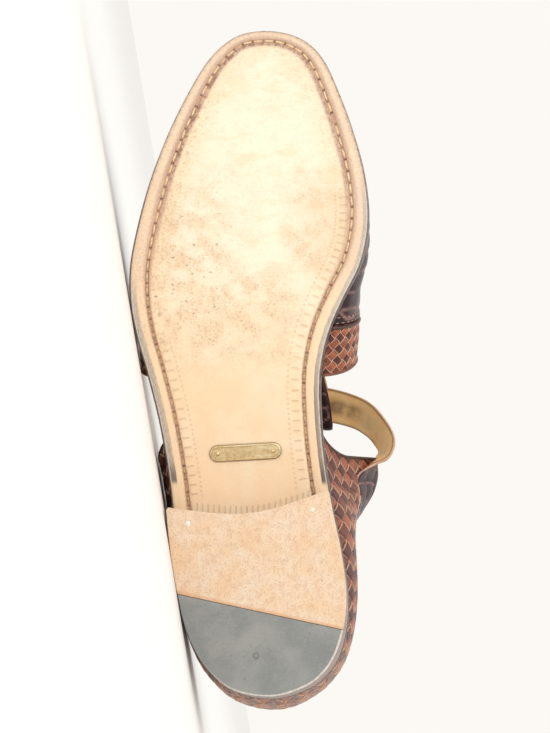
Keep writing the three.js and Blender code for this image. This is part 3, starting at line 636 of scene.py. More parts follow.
def scaledLeather():
    f = Finish("scaled_dark_leather", Roughness=0.28, Specular_IOR_Level=0.28,
               Coat_Weight=0.1, Coat_Roughness=0.15)
    groove, tone = f.mark("groove"), f.mark("tone")
    f.base(tone, srgb(38, 21, 27), srgb(66, 37, 39))
    f.fleck(srgb(38, 20, 28), 0.5, 0.4, 0.7, 0.16, 4)  # clouds
    f.paint(groove * 0.72, srgb(158, 122, 116))
    fine = f.grain(1.6, 4, 0.6)
    rough = f.span(fine, 0.2, 0.8, 0.2, 0.36) + groove * 0.3
    return f.finish(rough, fine, 0.1)


def liningLeather(name, light, dark, stain):
    f = Finish(name, Roughness=0.6)
    f.base(f.span(f.grain(0.09, 4), 0.3, 0.7), light, dark)
    f.fleck(stain, 0.55, 0.55, 0.7, 0.22, 4, 0.65)  # blots
    return f.finish(height=f.grain(2.5, 4, 0.7), depth=0.2)


def strapLiningLeather():  # golden, darkened along its middle and its rims by wear
    f = Finish("golden_strap_lining", Roughness=0.55, Specular_IOR_Level=0.3)
    _, y = f.split()
    over = f.mark("band")
    f.base(f.span(f.grain(0.1, 4), 0.3, 0.7), srgb(255, 222, 164), srgb(252, 204, 138))
    middle = f.span(abs(over - 0.5), 0.34, 0.08)
    smear = middle * f.span(f.grain(0.11, 5, 0.6), 0.32, 0.6, 0.25, 1.0)
    # the middle darkening fades out towards y 54, painting the strap's end on the inner side lighter where
    # light falls into the loop
    f.paint(smear * f.span(y, 54, 34, 0.1, 0.8), srgb(124, 98, 78))
    rims = f.span(abs(over - 0.5), 0.4, 0.48)
    f.paint(rims * 0.7, srgb(120, 82, 48))
    return f.finish(height=f.grain(2.5, 4, 0.7), depth=0.2)


def bindingLeather(name, deep, worn):
    f = Finish(name, Roughness=0.4)
    f.base(f.span(f.grain(0.6, 4), 0.4, 0.7), deep, worn)
    return f.finish(height=f.grain(2.5, 3), depth=0.12)


def plateBrass():
    f = Finish("aged_brass", Metallic=1.0, Roughness=0.35)
    patina = f.mark("patina")
    wear = f.grain(0.7, 5, 0.65)
    f.base(f.span(wear, 0.35, 0.7), srgb(238, 214, 168), srgb(208, 182, 138))
    f.paint(patina * 0.35, srgb(178, 150, 104))
    f.fleck(srgb(244, 228, 190), 0.55, 0.48, 0.66, 0.5, 4, 0.6, (1.0, 0.25, 1.0))  # rubbed streaks
    # painted shade on the plate's outer wall, standing for the dark gap round the plate
    f.paint(f.mark("gapShade") * 0.85, srgb(104, 80, 52))
    return f.finish(f.span(wear, 0.3, 0.7, 0.25, 0.5), f.grain(3, 3), 0.08)


def brightSteel():
    f = Finish("bright_nail_steel", Metallic=1.0, Roughness=0.3)
    wear = f.grain(1.5, 3)
    f.base(wear, srgb(252, 247, 236), srgb(226, 219, 204))
    return f.finish(f.span(wear, 0.3, 0.7, 0.3, 0.5))


soleMat, edgeMat = soleLeather(), edgeDye()
liftMat, wallMat, rimMat, rubberMat = heelLeather(), heelWall(), paleRim(), heelRubber()
wovenMat, rawMat, scaleMat = wovenLeather(), rawEdge(), scaledLeather()
brassMat, steelMat = plateBrass(), brightSteel()
bindMat = bindingLeather("dark_binding", srgb(46, 30, 30), srgb(96, 62, 52))
throatMat = bindingLeather("brown_binding", srgb(112, 64, 48), srgb(158, 98, 72))
soleThread = thread("cream_sole_thread", srgb(250, 228, 188), srgb(216, 180, 138), srgb(132, 104, 82))
seamThread = thread("seam_thread", srgb(198, 158, 140), srgb(150, 108, 96))
strapLining = strapLiningLeather()
toeLining = liningLeather("tan_toe_lining", srgb(206, 160, 104), srgb(182, 132, 82), srgb(140, 98, 62))
heelLining = liningLeather("dark_heel_lining", srgb(34, 36, 48), srgb(48, 48, 58), srgb(22, 22, 28))
sockLeather = liningLeather("tan_sock_leather", srgb(206, 162, 110), srgb(188, 142, 92), srgb(160, 118, 78))
print("materials ready")

# Outsole with its stitch channel
outsole = {
    "count": 260, "across": 18, "edgeLevels": 8, "inside": 14,
    "stitch": (4.9, 1.05, 0.8), "stitchDepth": 0.35, "probe": 0.4, "stitchStart": 84, "missing": 0.04,
    "stray": 0.05, "lengths": (0.82, 1.05), "sunkWaist": 0.3, "sunkToe": {1: 0.55, -1: 0.85}, "toe": (200, 270),
    "levels": [  # from the edge or from the stitch line, and the height over the tread
        ("edge", 14.0, 5.0), ("edge", 1.3, 5.0), ("edge", 0.4, 4.86), ("edge", 0.02, 4.4),
        ("edge", -0.05, 3.2), ("edge", -0.05, 1.9), ("edge", 0.02, 0.85), ("edge", 0.3, 0.28),
        ("edge", 0.85, 0.04), ("edge", 1.9, 0.0), ("edge", 3.3, 0.0), ("stitch", -1.25, 0.0),
        ("stitch", -0.95, 0.22), ("stitch", -0.6, 0.65), ("stitch", 0.0, 0.8), ("stitch", 0.6, 0.65),
        ("stitch", 0.95, 0.22), ("stitch", 1.25, 0.0), ("stitch", 3.0, 0.0), ("stitch", 5.0, 0.0),
        ("stitch", 7.4, 0.0), ("stitch", 10.0, 0.0), ("stitch", 13.5, 0.0),
    ],
    "stitchInset": [
        (0, 7.8), (100, 7.8), (140, 7.8), (190, 8.2), (235, 7.4), (275, 6.4), (296, 5.8), (305, 5.3),
    ],
}
stitchInset = smoothCurve(outsole["stitchInset"])


def outsoleSpot(i, level):
    place, normal, length = ringPoint(i, outsole["count"])
    kind, inset, height = level
    stitch = stitchInset(place.x)
    depth = inset if kind == "edge" else stitch + inset
    spot = place - normal * depth
    under = Vector((spot.x, spot.y, underside(spot.x) + height))
    return under, depth, depth - stitch, length, aheadOfBreast(spot)


def buildOutsole():
    bm = bmesh.new()
    layers = marksIn(bm, "fromEdge", "fromStitch", "alongEdge", "fromBreast")
    count, levels = outsole["count"], outsole["levels"]
    cells = gridInto(bm, 2 * count, len(levels) - 1, lambda i, j: outsoleSpot(i, levels[j]), layers)
    for face, (_, j) in cells.items():
        face.material_index = 1 if j < outsole["edgeLevels"] else 0
    for level in (levels[0], levels[-1]):  # the fields inside the first and last ring

        def field(i, j, level=level):
            a = outsoleSpot(i, level)
            b = outsoleSpot(2 * count - i, level)
            u = j / outsole["across"]
            spot = a[0].lerp(b[0], u)
            spot.z = underside(spot.x) + level[2]
            inside = outsole["inside"] * (1 - abs(2 * u - 1))
            return spot, a[1] + inside, a[2] + inside, lerp(a[3], b[3], u), aheadOfBreast(spot)

        for face in gridInto(bm, count, outsole["across"], field, layers):
            face.material_index = 1 if level is levels[0] else 0
    weld(bm)
    outward(bm)
    finishPiece("sole_bottom", bm, [soleMat, edgeMat], ["outsole"])


def stitchSpot(side, length, total):  # in the channel, at a length from the toe
    place, normal, _ = edgePoint(side, clamp(1 - length / total))
    spot = place - normal * stitchInset(place.x)
    return Vector((spot.x, spot.y, underside(spot.x) + outsole["stitchDepth"]))


def buildSoleStitches():
    bm = bmesh.new()
    long, wide, high = outsole["stitch"]
    stray, probe = outsole["stray"], outsole["probe"]
    for side in (1, -1):
        total = halves[side]["lengths"][-1]
        for k in range(int(total / stitchStep)):
            length = (k + 0.5) * stitchStep
            before, spot, after = [stitchSpot(side, length + shift, total) for shift in (-probe, 0, probe)]
            if spot.x < outsole["stitchStart"] or dice.random() < outsole["missing"]:
                continue
            run = after - before + Vector((dice.uniform(-stray, stray), dice.uniform(-stray, stray), 0))
            deepest = lerp(outsole["sunkWaist"], outsole["sunkToe"][side], ease(spot.x, *outsole["toe"]))
            spot = spot + Vector((0, 0, dice.uniform(-stray, deepest)))
            size = (long * dice.uniform(*outsole["lengths"]), wide, high)
            beadInto(bm, spot, run, Vector((0, 0, -1)), size)
    outward(bm)
    finishPiece("sole_stitches", bm, [soleThread])


# Heel
def heelLoop(insetAt):  # once round the heel: inner front corner, back, outer front corner, breast
    path = []
    for side in (1, -1):
        half = halves[side]
        run = []
        for place, normal in zip(half["places"], half["normals"]):
            spot = place - normal * insetAt(place.x)
            if spot.x < breastCurve(spot.y) - 1:
                run.append(spot)
        path += run[::-1] if side > 0 else run[1:]
    start, end = path[0], path[-1]
    breast = []
    for k in range(heel["breastSteps"]):
        y = lerp(end.y + heel["corner"], start.y - heel["corner"], k / (heel["breastSteps"] - 1))
        breast.append(Vector((breastCurve(y), y)))
    lengths = runLengths(path)
    outer = []
    for k in range(heel["outerSteps"]):
        i, u = locate(lengths, lengths[-1] * k / (heel["outerSteps"] - 1))
        outer.append(path[i].lerp(path[i + 1], u))
    return outer + breast


def heelSolid(levels):  # levels: (inset at x, height at x)
    bm = bmesh.new()
    loops = [heelLoop(insetAt) for insetAt, _ in levels]
    count = len(loops[0])

    def place(i, j):
        spot = loops[j][i % count]
        return (Vector((spot.x, spot.y, levels[j][1](spot.x))),)

    gridInto(bm, count, len(levels) - 1, place)
    closeUp(bm)
    return bm


def buildHeel():
    lift, edge = heel["lift"], heel["layerEdge"]
    share = 1 - lift / sole["heelHeight"]

    def stackLevel(u, extra):
        def insetAt(x):
            return lerp(heelTaper(x) * share, heel["seatInset"], u) + extra

        return insetAt, lambda x: lerp(lift + heel["liftGap"], underside(x) - heel["seatGap"], u)

    levels = [stackLevel(0, heel["lowEdge"])]
    for k in range(heel["layers"]):
        low, high = k / heel["layers"], (k + 1) / heel["layers"]
        for u, extra in ((low + edge, 0), (high - edge, 0), (high, heel["notch"])):
            levels.append(stackLevel(u, extra))
    finishPiece("heel_layers", heelSolid(levels), [wallMat], ["heel_stack"], sharp=1.2)

    def liftLevel(z, extra):
        return (lambda x: heelTaper(x) * (1 - z / sole["heelHeight"]) + extra), (lambda x: z)

    levels = [liftLevel(z, extra) for z, extra in heel["rounds"]]
    rimLow, rimHigh = heel["rim"]
    a = Vector((*heel["tipOuter"], 0))
    b = Vector((*heel["tipInner"], 0))
    ahead = (b - a).cross(Vector((0, 0, 1))).normalized()
    for name, keep, material, slot, node in (
        ("heel_top_lift", 1, liftMat, "sole_leather", "heel_lift_leather"),
        ("heel_rubber_tip", -1, rubberMat, "heel_rubber", "heel_tip_rubber"),
    ):
        bm = heelSolid(levels)
        cut = bmesh.ops.bisect_plane(bm, geom=wholeOf(bm), plane_co=a + ahead * keep * heel["tipGap"],
                                     plane_no=ahead, clear_inner=keep > 0, clear_outer=keep < 0)
        fillHoles(bm)
        outward(bm)
        cutEdges = [e for e in cut["geom_cut"] if isinstance(e, bmesh.types.BMEdge) and e.is_valid]
        low = [e for e in cutEdges if max(v.co.z for v in e.verts) < heel["tread"]]
        bmesh.ops.bevel(bm, geom=low, offset=heel["tipBevel"], offset_type="OFFSET", affect="EDGES",
                        segments=2, profile=0.5, material=-1)
        weld(bm, 0.001)
        toTip, = marksIn(bm, "toTip")
        for vert in bm.verts:
            vert[toTip] = (vert.co - a).dot(ahead)
        for face in bm.faces:
            level = max(v.co.z for v in face.verts)
            if abs(face.normal.dot(ahead)) > heel["upright"]:  # the slanted joint keeps the first material
                continue
            if level > rimHigh:
                face.material_index = 1
            elif level > rimLow and keep < 0:
                # the rubber tip's rounded lower edge takes the pale rim's painted highlight
                face.material_index = 2
        finishPiece(name, bm, [material, wallMat, rimMat], [node])


def turnedPart(profile, centre, axis, steps):  # profile: (radius, height along the axis)
    bm = bmesh.new()
    verts = [bm.verts.new((r, 0, h)) for r, h in profile]
    edges = [bm.edges.new(pair) for pair in zip(verts, verts[1:])]
    bmesh.ops.spin(bm, geom=verts + edges, cent=(0, 0, 0), axis=(0, 0, 1), angle=2 * math.pi,
                   steps=steps, use_merge=True)
    weld(bm, 0.002)
    outward(bm)
    turn = Vector((0, 0, 1)).rotation_difference(axis).to_matrix().to_4x4()
    bmesh.ops.transform(bm, matrix=Matrix.Translation(centre) @ turn, verts=bm.verts)
    return bm


def joinInto(bm, other):
    mesh = bpy.data.meshes.new("scratch")
    other.to_mesh(mesh)
    other.free()
    bm.from_mesh(mesh)
    bpy.data.meshes.remove(mesh)


def buildPegs(name, spots, profile, axis, steps, material, nodes):  # spots: centre, radius
    bm = bmesh.new()
    for centre, r in spots:
        joinInto(bm, turnedPart([(r * share, height) for share, height in profile], centre, axis, steps))
    finishPiece(name, bm, [material], nodes)


def buildNails():
    spots = [(Vector((x, y, 0)), r) for x, y, r in heel["nails"]]
    buildPegs("heel_nails", spots, heel["nailProfile"], Vector((0, 0, -1)), heel["nailSteps"], steelMat,
              ["heel_nail_outer", "heel_nail_inner"])


# Brass plate under the arch, its face left plain
plate = {
    "x": 108.5, "y": -9.6, "length": 33.0, "width": 7.6, "turn": 0.06, "steps": 20, "sunk": 0.25, "face": 0.72,
    "levels": [  # inset, height
        (0.0, 0.0), (0.0, 0.6), (0.45, 0.96), (0.6, 1.0), (0.9, 1.0), (1.15, 0.72), (3.2, 0.72),
    ],
    "pinRadius": 1.0, "pinSteps": 14,
    "pinProfile": [(0, -0.5), (1, -0.5), (1, 0.2), (0.8, 0.48), (0.4, 0.62), (0, 0.66)],
}


def buildPlate():
    slope = (underside(plate["x"] + 1) - underside(plate["x"] - 1)) / 2
    down = Vector((slope, 0, -1)).normalized()
    run = Vector((plate["turn"], 1, 0)).normalized()
    run = (run - down * run.dot(down)).normalized()
    ahead = run.cross(down).normalized()
    middle = Vector((plate["x"], plate["y"], underside(plate["x"]) - plate["sunk"]))
    half = plate["length"] / 2 - plate["width"] / 2
    steps = plate["steps"]

    def rim(i, inset):  # round the two ends
        radius = plate["width"] / 2 - inset
        i %= 2 * steps + 2
        end = 1 if i <= steps else -1
        angle = math.pi * ((i if end > 0 else i - steps - 1) / steps - 0.5)
        return Vector((end * half + end * math.cos(angle) * radius, end * math.sin(angle) * radius))

    bm = bmesh.new()
    layers = marksIn(bm, "patina", "gapShade")

    def place(i, j):
        inset, height = plate["levels"][j]
        flat = rim(i, inset)
        spot = middle + run * flat.x + ahead * flat.y + down * height
        # patina on the sunken face, painted gap shade on the outer wall
        return spot, float(height == plate["face"]), float(inset == 0)

    gridInto(bm, 2 * steps + 2, len(plate["levels"]) - 1, place, layers)
    closeUp(bm)
    finishPiece("waist_plate", bm, [brassMat], ["waist_plaque"])
    spots = [(middle + run * end * half + down * plate["face"], plate["pinRadius"]) for end in (-1, 1)]
    buildPegs("plate_pins", spots, plate["pinProfile"], down, plate["pinSteps"], brassMat,
              ["plaque_pin_outer", "plaque_pin_inner"])


buildOutsole()
buildSoleStitches()
buildHeel()
buildNails()
buildPlate()
print("sole, heel and plate ready")

# Last of the upper
upperInset = smoothCurve([(-2.5, 1.6), (100, 1.6), (140, 2.0), (180, 4.2), (305, 5.0)])
footHalves = {}
for side, half in halves.items():
    spots = [place - normal * upperInset(place.x) for place, normal in zip(half["places"], half["normals"])]
    footHalves[side] = {"spots": spots, "xs": [spot.x for spot in spots], "normals": half["normals"]}

vamp = {
    "names": ("x", "ridgeX", "ridgeY", "ridgeZ", "medialSwell", "lateralSwell"),
    "rows": [
        (143, 178, 4, 74, 18, 7.8), (152, 183, 3.2, 71.5, 18, 6.2), (160, 188, 2.5, 69.5, 17, 4.4),
        (175, 196, 1, 66, 12, 3), (190, 205, -1, 62, 7.5, 3), (225, 226, -3, 53.5, 4, 3.5),
        (260, 246, -3.5, 46, 4, 4), (285, 257, -3.5, 42.8, 4.5, 4.5), (305, 261, -3.5, 42.4, 4.5, 4.5),
    ],
    "medialRise": 0.5, "lateralRise": 0.46, "leanPower": 1.5, "backX": 143.0, "seamX": 164.0,
    "roundStart": 200.0, "roundEnd": 290.0, "toeX": 300.0,
    "evenX": 158.0, "evenFade": (180, 285), "samples": 400, "probe": (0.6, 0.004),
}
vampCurves = columnCurves(vamp)


def vampFoot(x, side):
    half = footHalves[side]
    i = min(max(bisect.bisect_right(half["xs"], x) - 1, 0), len(half["xs"]) - 2)
    u = clamp((x - half["xs"][i]) / max(half["xs"][i + 1] - half["xs"][i], 1e-6))
    spot = half["spots"][i].lerp(half["spots"][i + 1], u)
    return spot.y, half["normals"][i].lerp(half["normals"][i + 1], u).normalized()


def vampPoint(x, across):  # across 0 at the outer foot, 0.5 on the ridge, 1 at the inner foot
    side = -1 if across <= 0.5 else 1
    climb = across * 2 if side < 0 else 2 - across * 2
    footY, normal = vampFoot(x, side)
    if x >= vamp["toeX"] - 0.01:
        footY, normal = sole["toeY"], Vector((1, 0))
    turn = climb * math.pi / 2
    rounding = ease(x, vamp["roundStart"], vamp["roundEnd"])
    keep = lerp((1 - climb) ** vamp["leanPower"], math.cos(turn), rounding)
    swell = vampCurves["medialSwell" if side > 0 else "lateralSwell"](x)
    rise = vamp["medialRise" if side > 0 else "lateralRise"]
    out = swell * math.sin(math.pi * climb ** rise)
    bottom = soleTop(x) + sole["seam"]
    ridge = Vector((vampCurves["ridgeX"](x), vampCurves["ridgeY"](x), vampCurves["ridgeZ"](x)))
    return Vector((
        ridge.x + (x - ridge.x) * keep + normal.x * out * rounding,
        ridge.y + (footY - ridge.y) * math.cos(turn) + lerp(side, normal.y, rounding) * out,
        bottom + (ridge.z - bottom) * math.sin(turn),
    ))


def evenAcross(station, samples):  # shares of the length across the vamp, turned into its own measure
    lengths = runLengths([vampPoint(station, k / samples) for k in range(samples + 1)])

    def at(share):
        i, u = locate(lengths, clamp(share) * lengths[-1])
        return (i + u) / samples

    return at, lengths[-1]


acrossAt, vampWidth = evenAcross(vamp["evenX"], vamp["samples"])


def vampSpot(x, share):
    x = clamp(x, vamp["backX"], vamp["toeX"])
    return vampPoint(x, lerp(acrossAt(share), clamp(share), ease(x, *vamp["evenFade"])))


def surfaceAt(spotAt, u, v, du, dv):  # place and outward direction, from a step each way
    place = spotAt(u, v)
    run = (spotAt(u + du, v) - place) * (1 if du > 0 else -1)
    over = (spotAt(u, v + dv) - place) * (1 if dv > 0 else -1)
    normal = run.cross(over)
    return place, normal.normalized() if normal.length > 1e-9 else Vector((1, 0, 0))


def vampSurface(x, share):
    x = clamp(x, vamp["backX"], vamp["toeX"])
    dx, da = vamp["probe"]
    return surfaceAt(vampSpot, x, share, dx if x < vamp["toeX"] - 2 else -dx, da if share < 0.99 else -da)


def vampReach(share):  # length of the woven band at a share across
    return runLengths([vampSpot(lerp(vamp["seamX"], vamp["backX"], k / 8), share) for k in range(9)])[-1]


quarter = {
    "names": ("around", "height", "swell", "topOut", "lean"),
    "rows": [
        (0, 52, 0, 25, -10), (0.06, 49, 1, 23, -7), (0.1, 47, 4, 17, -4), (0.15, 45.5, 6, 8, -1),
        (0.2, 45, 5.6, 3, 0), (0.3, 47, 3.6, 0.5, 0), (0.4, 54, 3.8, 0, 0), (0.5, 60, 6.8, 0.5, 0),
        (0.6, 55, 5.4, 1, 0), (0.7, 47, 4.7, 1, 0), (0.8, 45, 4, 2, 0), (0.9, 46, 4.6, 3, -4),
        (1, 48, 5, 2, -8),
    ],
    "medialX": 118.5, "lateralX": 114.0, "swellRise": 0.7, "outPower": 1.3, "leanEnd": 0.6,
    "collar": [(0, 0.67), (0.12, 0.69), (0.22, 0.74), (0.5, 0.8), (0.78, 0.74), (0.88, 0.69), (1, 0.67)],
    "collarEnd": 0.045, "probe": (0.004, 0.03), "wallTop": 0.985,
}
collarLow = smoothCurve(quarter["collar"])
quarterCurves = columnCurves(quarter)


def quarterPath():
    path = []
    for side, front in ((1, quarter["medialX"]), (-1, quarter["lateralX"])):
        half = footHalves[side]
        run = [(s, n) for s, n in zip(half["spots"], half["normals"]) if s.x < front]
        path += run[::-1] if side > 0 else run[1:]
    return path, runLengths([spot for spot, _ in path])


quarterSpots, quarterLengths = quarterPath()
quarterTotal = quarterLengths[-1]


def quarterPoint(around, up):
    around = clamp(around)
    i, u = locate(quarterLengths, around * quarterTotal)
    foot = quarterSpots[i][0].lerp(quarterSpots[i + 1][0], u)
    normal = quarterSpots[i][1].lerp(quarterSpots[i + 1][1], u).normalized()
    level = clamp(up, 0, 1)
    swell = quarterCurves["swell"](around) * math.sin(math.pi * level ** quarter["swellRise"])
    out = swell + quarterCurves["topOut"](around) * max(up, 0) ** quarter["outPower"]
    lean = quarterCurves["lean"](around) * math.sin(min(max(up, 0) / quarter["leanEnd"], 1) * math.pi / 2)
    z = soleTop(foot.x) + sole["seam"] + quarterCurves["height"](around) * up
    return Vector((foot.x + normal.x * out + lean, foot.y + normal.y * out, z))


def quarterSurface(around, up):
    around = clamp(around)
    da, du = quarter["probe"]
    return surfaceAt(quarterPoint, around, up, da if around < 0.99 else -da, du if up < 0.9 else -du)


def quarterReach(around):  # length up the quarter
    return runLengths([quarterPoint(around, k / 8) for k in range(9)])[-1]


def sampled(measure, count=60):
    return smoothCurve([(k / count, measure(k / count)) for k in range(count + 1)])


vampReachAt, quarterReachAt = sampled(vampReach), sampled(quarterReach)

# Weave: two sets of strips laid flat, over and under, trimmed, then bent onto the last
weave = {
    "quarterWidth": 6.5, "vampWidth": 3.7, "half": 0.475, "thick": 0.9, "crown": 0.12, "bevel": 0.3,
    "swing": 0.085, "square": 1.8, "perCell": 6, "probe": 0.25, "probes": 400, "lift": 0.15,
    "mottle": 0.22, "shade": 0.35, "strandLight": {1: 0.6, -1: 0.02}, "quarterHeight": 64, "vampReach": (-2, 24),
    # cuts: axis, place in the panel's measures, side that is cleared
    "quarterCuts": [(0, 0.002, -1), (0, 0.998, 1), (1, 0.004, -1), (1, 0.965, 1)],
    "vampCuts": [(0, vamp["backX"] + 0.3, -1), (0, vamp["seamX"] + 0.6, 1), (1, 0.002, -1), (1, 0.998, 1)],
}


def weaveFlat(w, low, high, warp, cuts):
    # w: width of a strip; low, high: corners in flat millimetres; warp: flat to the panel's measures
    bm = bmesh.new()
    layers = marksIn(bm, "tint", "dip")
    half, perCell, probe = w * weave["half"], weave["perCell"], weave["probe"]
    section = [(-half, -weave["thick"]), (-half, 0), (-half + weave["bevel"], weave["crown"]),
               (half - weave["bevel"], weave["crown"]), (half, 0), (half, -weave["thick"])]
    root = math.sqrt(0.5)
    corners = [Vector((s, t)) for s in (low[0], high[0]) for t in (low[1], high[1])]
    for family in (1, -1):
        runAxis = Vector((root, root * family))
        sideAxis = Vector((root, -root * family))
        sides = [corner.dot(sideAxis) for corner in corners]
        for k in range(math.floor(min(sides) / w) - 1, math.ceil(max(sides) / w) + 1):
            middle = (k + 0.5) * w
            inside = []
            for step in range(-weave["probes"], weave["probes"]):  # the stretch of this strip on the panel
                spot = runAxis * step * w * probe + sideAxis * middle
                if low[0] - w < spot.x < high[0] + w and low[1] - w < spot.y < high[1] + w:
                    inside.append(step)
            if not inside:
                continue
            start = math.floor(inside[0] * probe) * w
            cells = math.ceil((inside[-1] - inside[0]) * probe) + 1
            # one strip direction starts light and the other dark: painted light and shade on the two
            # directions, plus a random tone
            shade = clamp(dice.random() * weave["shade"] + weave["strandLight"][family])

            def place(i, j):
                run = start + i * w / perCell
                offset, height = section[j % len(section)]
                wave = math.sin(math.pi * (run / w + k)) * family
                wave = math.tanh(weave["square"] * wave) / math.tanh(weave["square"])
                spot = runAxis * run + sideAxis * (middle + offset)
                cell = noise.cell(Vector((k + 0.5, math.floor(run / w) + 0.5, family * 3)))
                tone = clamp(shade + cell * weave["mottle"])
                # the wave also goes out as the dip mark, which the material darkens as painted shade
                return Vector((spot.x, spot.y, height + wave * weave["swing"] * w)), tone, wave

            faces = gridInto(bm, cells * perCell, len(section), place, layers)
            for face, (_, j) in faces.items():
                face.material_index = 1 if j in (0, 1, 3, 4) else 0  # the cut sides of the strip
    weld(bm, 0.002)
    for vert in bm.verts:
        vert.co.xy = warp(vert.co.x, vert.co.y)
    for axis, value, sign in cuts:
        point, normal = Vector((0, 0, 0)), Vector((0, 0, 0))
        point[axis] = value
        normal[axis] = sign
        bmesh.ops.bisect_plane(bm, geom=wholeOf(bm), dist=0.0005, plane_co=point, plane_no=normal,
                               clear_outer=True)
        fillHoles(bm)
    outward(bm)
    return bm


def buildWeave(name, w, low, high, warp, cuts, surface):
    bm = weaveFlat(w, low, high, warp, cuts)
    for vert in bm.verts:  # flat (s, t, height) onto the surface
        place, normal = surface(vert.co.x, vert.co.y)
        vert.co = place + normal * (vert.co.z + weave["lift"])
    finishPiece(name, bm, [wovenMat, rawMat], ["upper"], sharp=0.9)


def quarterWarp(s, t):
    return s / quarterTotal, t / quarterReachAt(clamp(s / quarterTotal))


def vampWarp(s, t):
    share = t / vampWidth
    return vamp["seamX"] - (vamp["seamX"] - vamp["backX"]) * s / vampReachAt(clamp(share)), share


hide = {
    "scatter": 0.5, "power": 3.2, "line": (0.02, 0.13), "dome": 0.6, "rise": 0.6, "cut": 0.25,
    "slant": 0.35, "radius": 90, "drop": 40,
}


def scaleRelief(along, across, size):
    # a hide of squarish scales in rows, at flat millimetres: height, how deep in a groove, and the scale's tone
    row = math.floor(along / size[0])
    near = []
    for i in (row - 1, row, row + 1):
        shift = noise.cell(Vector((i + 0.5, 0.5, 5.5)))
        column = math.floor(across / size[1] + shift)
        for j in (column - 1, column, column + 1):
            stray = noise.cell_vector(Vector((i + 0.5, j + 0.5, 9.5)))
            da = abs(along / size[0] - i - 0.5 - (stray.x - 0.5) * hide["scatter"])
            db = abs(across / size[1] + shift - j - 0.5 - (stray.y - 0.5) * hide["scatter"])
            near.append(((da ** hide["power"] + db ** hide["power"]) ** (1 / hide["power"]), i, j))
    near.sort()
    gap = near[1][0] - near[0][0]
    groove = 1 - ease(gap, *hide["line"])
    dome = ease(gap, 0.0, hide["dome"])
    tone = noise.cell(Vector((near[0][1] + 0.5, near[0][2] + 0.5, 2.5)))
    return dome * hide["rise"] - groove * hide["cut"], groove, clamp(0.5 + 0.5 * tone)


def hideFlat(spot):  # the vamp's hide laid flat: millimetres along and across
    return spot.x - hide["slant"] * spot.z, hide["radius"] * math.atan2(spot.y, spot.z + hide["drop"])


lining = {"sunk": 0.75, "thick": 1.5, "quarter": (150, 26), "vamp": (70, 80)}
collar = {
    "along": 420, "columns": 20, "scales": (8, 7), "relief": 0.5, "face": (0.07, 0.92),
    "lower": [(0.0, -0.2), (0.02, 0.75)],  # share up the band, lift
    "inner": [(0.98, 0.8), (1.0, 0.1), (1.0, -1.4), (0.98, -2.2), (0.7, -2.35), (0.3, -2.35), (0.1, -2.3)],
}
toe = {
    "along": 188, "across": 256, "scales": (8.5, 9.5), "relief": 0.6, "lift": (-0.3, 0.75), "thick": 1.2,
    "overSeam": 0.3, "lip": 2,
}
seam = {  # spans: first share across, and how far it goes
    "steps": 120, "pipe": 0.8, "pipeLift": 0.7, "pipeBack": 0.4, "pipeSpan": (0.01, 0.98),
    "rows": (1.7, 4.2), "stitches": 62, "stitch": (1.8, 0.55, 0.5), "stitchLift": 0.95, "probe": 0.004,
    "stitchSpan": (0.02, 0.96),
}
binding = {
    "half": 1.75, "high": 0.9, "sunk": 0.6, "inside": 0.006, "steps": 30, "quarterSpan": (0.015, 0.97),
    "throatInside": 1, "throatSteps": 120, "throatSpan": (0.004, 0.992),
}


def thicken(piece, thickness, inside=0):
    wall = piece.modifiers.new("wall", "SOLIDIFY")
    wall.thickness = thickness * shoeFrame["metre"]
    wall.offset = -1
    wall.material_offset = inside


def buildWall(name, counts, surface, materials, folded=False):
    bm = bmesh.new()
    uCount, vCount = counts

    def place(i, j):
        spot, normal = surface(i / uCount, j / vCount)
        return (spot - normal * lining["sunk"],)

    gridInto(bm, uCount, vCount, place)
    if folded:
        weld(bm)
    thicken(finishPiece(name, bm, materials), lining["thick"], 1)


def rolledEdge(bm, surface, rows):  # rows: measures on a panel's edge, and a little inside it
    spots = [surface(*edge) for edge, _ in rows]
    rises = [(spot[0] - surface(*inside)[0]).normalized() for spot, (_, inside) in zip(spots, rows)]
    points = [spot - normal * binding["sunk"] for spot, normal in spots]
    tubeInto(bm, points, rises, binding["half"], binding["high"])


def buildQuarter():
    top = quarter["wallTop"]
    buildWall("quarter_wall", lining["quarter"], lambda u, v: quarterSurface(u, v * top), [bindMat, heelLining])
    buildWeave("quarter_weave", weave["quarterWidth"], (0, 0), (quarterTotal, weave["quarterHeight"]),
               quarterWarp, weave["quarterCuts"], quarterSurface)
    # scaled collar band over the top of the weave
    bm = bmesh.new()
    layers = marksIn(bm, "groove", "tone")
    columns = collar["columns"]
    face = [(lerp(*collar["face"], k / columns), 1.0) for k in range(columns + 1)]
    section = collar["lower"] + face + collar["inner"]
    lower = len(collar["lower"])
    inside = lower + len(face) + 1

    def collarSpot(i, j):
        share, lift = section[j % len(section)]
        around = lerp(quarter["collarEnd"], 1 - quarter["collarEnd"], i / collar["along"])
        up = lerp(collarLow(around), 1.0, share)
        spot, normal = quarterSurface(around, up)
        height, groove, tone = scaleRelief(around * quarterTotal, up * quarterReachAt(around), collar["scales"])
        outside = 1 if lower <= j <= columns + lower else 0
        return spot + normal * (lift + height * collar["relief"] * outside), groove * outside, tone

    cells = gridInto(bm, collar["along"], len(section), collarSpot, layers)
    for cell, (_, j) in cells.items():
        cell.material_index = 2 if j < lower else 0 if j < inside else 1
    closeUp(bm)
    finishPiece("collar_band", bm, [scaleMat, heelLining, rawMat], sharp=1.0)
    # rolled binding down the two front edges
    bm = bmesh.new()
    low, rise = binding["quarterSpan"]
    ups = [low + k / binding["steps"] * rise for k in range(binding["steps"] + 1)]
    for around, inner in ((0.0, binding["inside"]), (1.0, 1.0 - binding["inside"])):
        rolledEdge(bm, quarterSurface, [((around, up), (inner, up)) for up in ups])
    closeUp(bm)
    finishPiece("quarter_binding", bm, [bindMat])


def vampStation(back, u):  # closer together towards the toe
    return lerp(back, vamp["toeX"], math.sin(u * math.pi / 2))


